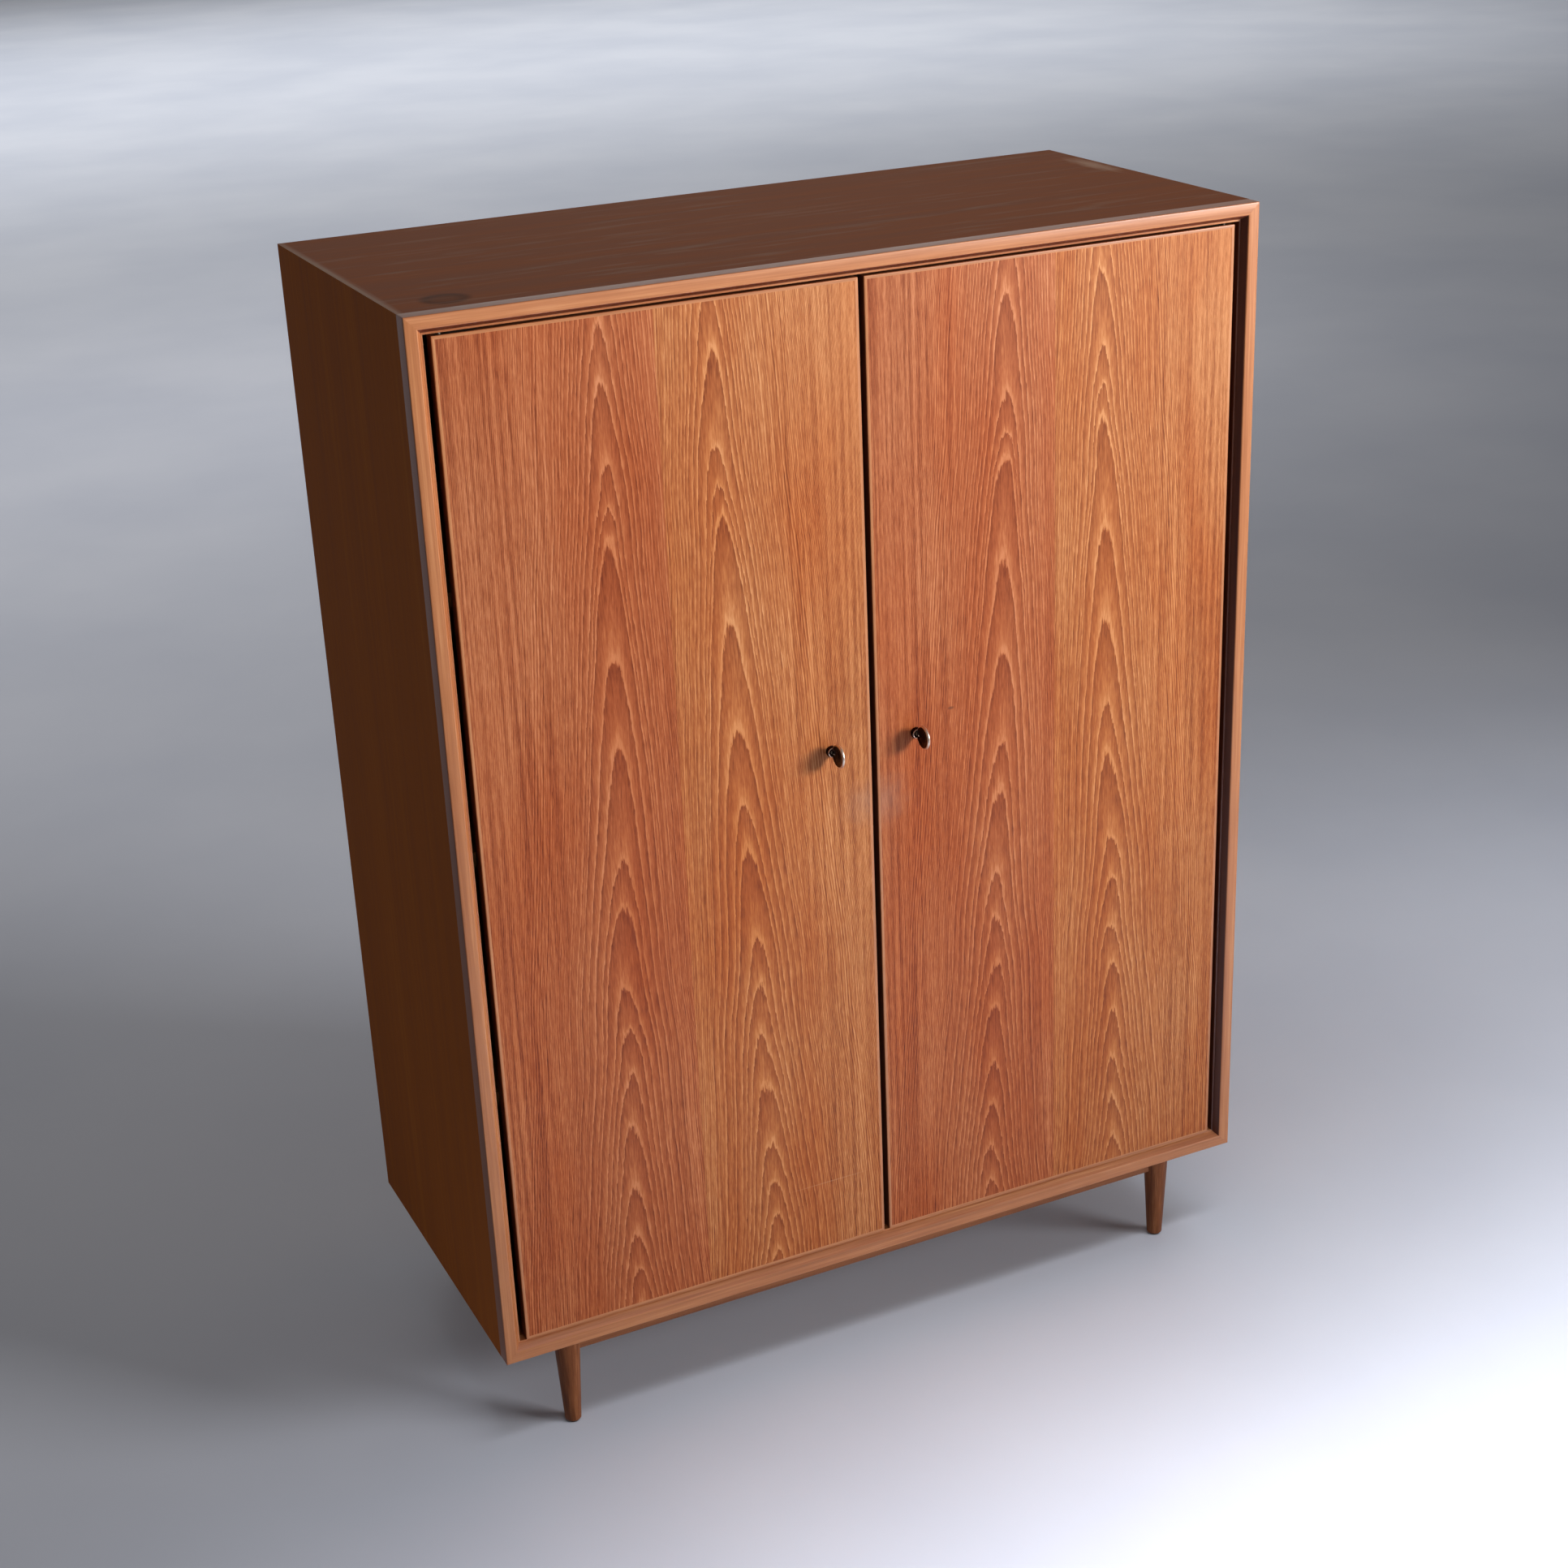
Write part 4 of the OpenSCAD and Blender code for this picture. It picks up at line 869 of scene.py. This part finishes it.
def cut_plate_pockets(piece, node_name):
    """Cuts a seat for each hinge plate of a node out of a piece."""
    overshoot = 0.001
    half_way = (door_low + 500) / MM
    for points in solids_of(node_name):
        # a pin or barrel stands on the plate, so the plate's thickness is read at its left end
        left_end = min(p.x for p in points)
        plate = [p for p in points if p.x < left_end + 0.0001]
        low = Vector((left_end, min(p.y for p in points), min(p.z for p in plate)))
        high = Vector((max(p.x for p in points), max(p.y for p in points),
                       max(p.z for p in plate)))
        span = high - low
        # the seat is open towards the gap between door and case, so it is cut a little deeper
        lift = Vector((0, 0, overshoot if low.z > half_way else -overshoot))
        if node_name.startswith("case"):
            lift = -lift
        builder = bmesh.new()
        bmesh.ops.create_cube(builder, size=1.0)
        for vert in builder.verts:
            vert.co = Vector(v * s for v, s in zip(vert.co, span)) + (low + high) / 2
            if vert.co.z * lift.z > (low.z + high.z) / 2 * lift.z:
                vert.co.z += lift.z
        cut_with(piece, builder)


# %% [markdown]
# ## The front moulding
# Four bars run round the front of the case: a flat face, a bevel that leads the eye in to the
# doors, and a narrow lip beside them.

# %% The front moulding
# face, bevel and lip, with the outer arris worn round and the inner ones just broken
face_end, bevel_end, lip_end = 0.016, 0.022, 0.0245
bevel_depth, bar_depth = 0.0105, 0.024
moulding_section = eased([
    (0.0, 0.0, 0.0018), (face_end, 0.0, 0.0014), (bevel_end, bevel_depth, 0.0),
    (lip_end, bevel_depth, 0.0006), (lip_end, bar_depth, 0.0), (0.0, bar_depth, 0.0),
])
corners = {
    "bottom_left": (case_low.x, front, case_low.z),
    "bottom_right": (case_high.x, front, case_low.z),
    "top_left": (case_low.x, front, case_high.z),
    "top_right": (case_high.x, front, case_high.z),
}
runs = [
    ("left_moulding", "bottom_left", "top_left", (1, 0, 0), upright_teak),
    ("right_moulding", "bottom_right", "top_right", (-1, 0, 0), upright_teak),
    ("top_moulding", "top_left", "top_right", (0, 0, -1), cross_teak),
    ("bottom_moulding", "bottom_left", "bottom_right", (0, 0, 1), cross_teak),
]
for node_name, a, b, inward, teak in runs:
    builder = bmesh.new()
    add_mitred_bar(builder, corners[a], corners[b], inward, moulding_section, 0.0012)
    piece = finish_mesh("eased_" + node_name, builder, teak, "carcass", [node_name])
    if "top" in node_name or "bottom" in node_name:
        cut_plate_pockets(piece, "case_pivot_plates")
print("moulding:", round(lip_end * MM, 1), "mm wide,", round(bar_depth * MM, 1), "mm deep")

# %% [markdown]
# ## The door lippings
# Four thin strips of solid teak cover the edges of each veneered door. They are mitred too,
# and the upper and lower ones are cut away where the hinge plates are let in.

# %% The door lippings
lipping = 0.004
arris = 0.0012
for side in ("left", "right"):
    low, high = map(Vector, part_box(side + "_door_lippings"))
    thick = high.y - low.y
    section = eased([(0.0, 0.0, arris), (lipping, 0.0, 0.0), (lipping, thick, 0.0),
                     (0.0, thick, arris)])
    # the free edge of each door is the one next to the other door
    left_edge, right_edge = ("hinge", "free") if side == "left" else ("free", "hinge")
    foot_left = (low.x, low.y, low.z)
    foot_right = (high.x, low.y, low.z)
    head_left = (low.x, low.y, high.z)
    head_right = (high.x, low.y, high.z)
    strips = {
        right_edge: (foot_right, head_right, (-1, 0, 0)),
        left_edge: (foot_left, head_left, (1, 0, 0)),
        "upper": (head_left, head_right, (0, 0, -1)),
        "lower": (foot_left, foot_right, (0, 0, 1)),
    }
    for place_name, (start, end, inward) in strips.items():
        builder = bmesh.new()
        add_mitred_bar(builder, start, end, inward, section, 0.001)
        level = place_name in ("upper", "lower")
        piece = finish_mesh(f"{side}_door_{place_name}_lipping", builder,
                            lip_cross if level else lip_upright, side + "_door",
                            [side + "_door_lippings"])
        if level:
            cut_plate_pockets(piece, side + "_door_plates")
print("door lippings:", round(lipping * MM, 1), "mm wide,", round(thick * MM, 1), "mm deep")

# %% [markdown]
# ## Turned pieces: legs, key bows and collars
# Anything off a lathe is a profile spun round an axis. The legs are plain tapers with a rounded
# foot. Each key has a round bow, thinner in the middle than at its beaded rim.

# %% The lathe
def turned(name, profile, centre, axis, material, body, node_name, steps=64, ring=False):
    """Spins a profile of (radius, distance along the axis) round an axis through centre."""
    centre = Vector(centre)
    along = {"X": Vector((1, 0, 0)), "Y": Vector((0, 1, 0)), "Z": Vector((0, 0, 1))}[axis]
    side = {"X": Vector((0, 1, 0)), "Y": Vector((0, 0, 1)), "Z": Vector((1, 0, 0))}[axis]
    other = along.cross(side)
    builder = bmesh.new()
    rows = []
    for radius, distance in profile:
        middle = centre + along * distance
        row = [middle + (side * math.cos(a) + other * math.sin(a)) * radius
               for a in (2 * math.pi * k / steps for k in range(steps))]
        rows.append(row)
    if ring:
        rows.append(rows[0])
    add_loft(builder, rows, capped=not ring)
    return finish_mesh(name, builder, material, body, [node_name])


# %% Legs
foot_radius = 0.0115
foot_round = 0.002
for node_name in ("front_left_leg", "front_right_leg", "back_left_leg", "back_right_leg"):
    low, high = map(Vector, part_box(node_name))
    centre = (low + high) / 2
    flare = (high.x - low.x) / 2 - foot_radius
    rise = high.z - low.z - foot_round
    profile = [(foot_radius - 0.006, 0.0)]
    profile += [(foot_radius - foot_round + foot_round * math.sin(a),
                 foot_round * (1 - math.cos(a))) for a in (math.radians(15 * k) for k in range(7))]
    profile += [(foot_radius + flare * k / 8, foot_round + rise * k / 8) for k in range(1, 9)]
    turned("turned_" + node_name, profile, (centre.x, centre.y, low.z), "Z", leg_teak,
           "carcass", node_name)

print("legs taper to", round(foot_radius * 2 * MM, 1), "mm at the foot")

# %% Key bows
tang_radius = 0.00205


def add_bow(side):
    """A thick disc on edge: a beaded rim 4.4 mm thick round a web dished 0.5 mm each side."""
    low, high = map(Vector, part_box(side + "_key_bow"))
    centre = (low + high) / 2
    rim = (high.x - low.x) / 2
    radius = min(high.z - low.z, high.y - low.y) / 2 - 0.00005
    web = rim - 0.0005
    half = [(0.0004, web)]
    half += [((radius - 3.2 * rim) * k / 4, web) for k in range(1, 5)]
    half += [(radius - 2.4 * rim, web + 0.0002), (radius - 1.7 * rim, rim - 0.0001)]
    half += [(radius - rim + rim * math.cos(a), rim * math.sin(a))
             for a in (math.radians(90 - 11.25 * k) for k in range(9))]
    profile = half + [(r, -x) for r, x in reversed(half[:-1])]
    bow = turned(side + "_dished_bow", profile, centre, "X", bronze, side + "_key",
                 side + "_key_bow", 96)
    # the end of the shank is let into the bow, so its bore is cut out
    shank = Vector(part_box(side + "_key_shank")[0])
    tang = bmesh.new()
    rows = [[Vector((centre.x + tang_radius * math.cos(a), y, centre.z + tang_radius * math.sin(a)))
             for a in (math.pi * k / 16 for k in range(32))]
            for y in (shank.y - 0.0003, high.y + 0.001)]
    add_loft(tang, rows)
    cut_with(bow, tang)
    return radius


# %% Collars
spigot, seat, hole = 0.006, 0.0056, 0.00306  # radii
seat_depth = 0.0018


def add_collar(side):
    """A stepped ring round the keyhole, let into the door by its spigot."""
    low, high = map(Vector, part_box(side + "_collar"))
    centre = (low + high) / 2
    radius = (high.z - low.z) / 2
    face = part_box(side + "_door_lippings")[0][1]
    out = face - low.y
    deep = face - high.y
    profile = eased([
        (radius, 0.0, 0.0), (radius, out * 0.42, 0.0006), (radius - 0.0007, out * 0.55, 0.0004),
        (radius - 0.0010, out, 0.0009), (seat, out, 0.0005), (seat, out - seat_depth, 0.0),
        (hole, out - seat_depth, 0.0), (hole, deep, 0.0), (spigot, deep, 0.0),
        (spigot, 0.0, 0.0),
    ])
    turned(side + "_stepped_collar", [(p.x, -p.y) for p in profile],
           (centre.x, face, centre.z), "Y", bronze, side + "_door", side + "_collar",
           64, ring=True)


for side in ("left", "right"):
    bow_radius = add_bow(side)
    add_collar(side)
print("bows", round(bow_radius * 2 * MM, 1), "mm across")

# %% [markdown]
# ## Floor paint
# The floor is painted concrete in a pale, slightly blue grey. Slow patches of two greys keep
# it from looking like a sheet of paper, and it is rough enough to show no mirror image.

# %% Paint the floor
material, tree, shader = new_material("pale_floor_paint")
place = add(tree, "ShaderNodeTexCoord")
patch = add(tree, "ShaderNodeTexNoise", {
    "Vector": place.outputs["Object"], "Scale": 0.9, "Detail": 5.0})
paint = add(tree, "ShaderNodeValToRGB", {0: patch.outputs[0]})
set_ramp(paint, [(0.35, "#cbd1e0"), (0.65, "#d6dbe8")])
tree.links.new(paint.outputs[0], shader.inputs["Base Color"])
shader.inputs["Roughness"].default_value = 0.55
floor.data.materials.append(material)
print("materials in all:", len(bpy.data.materials))
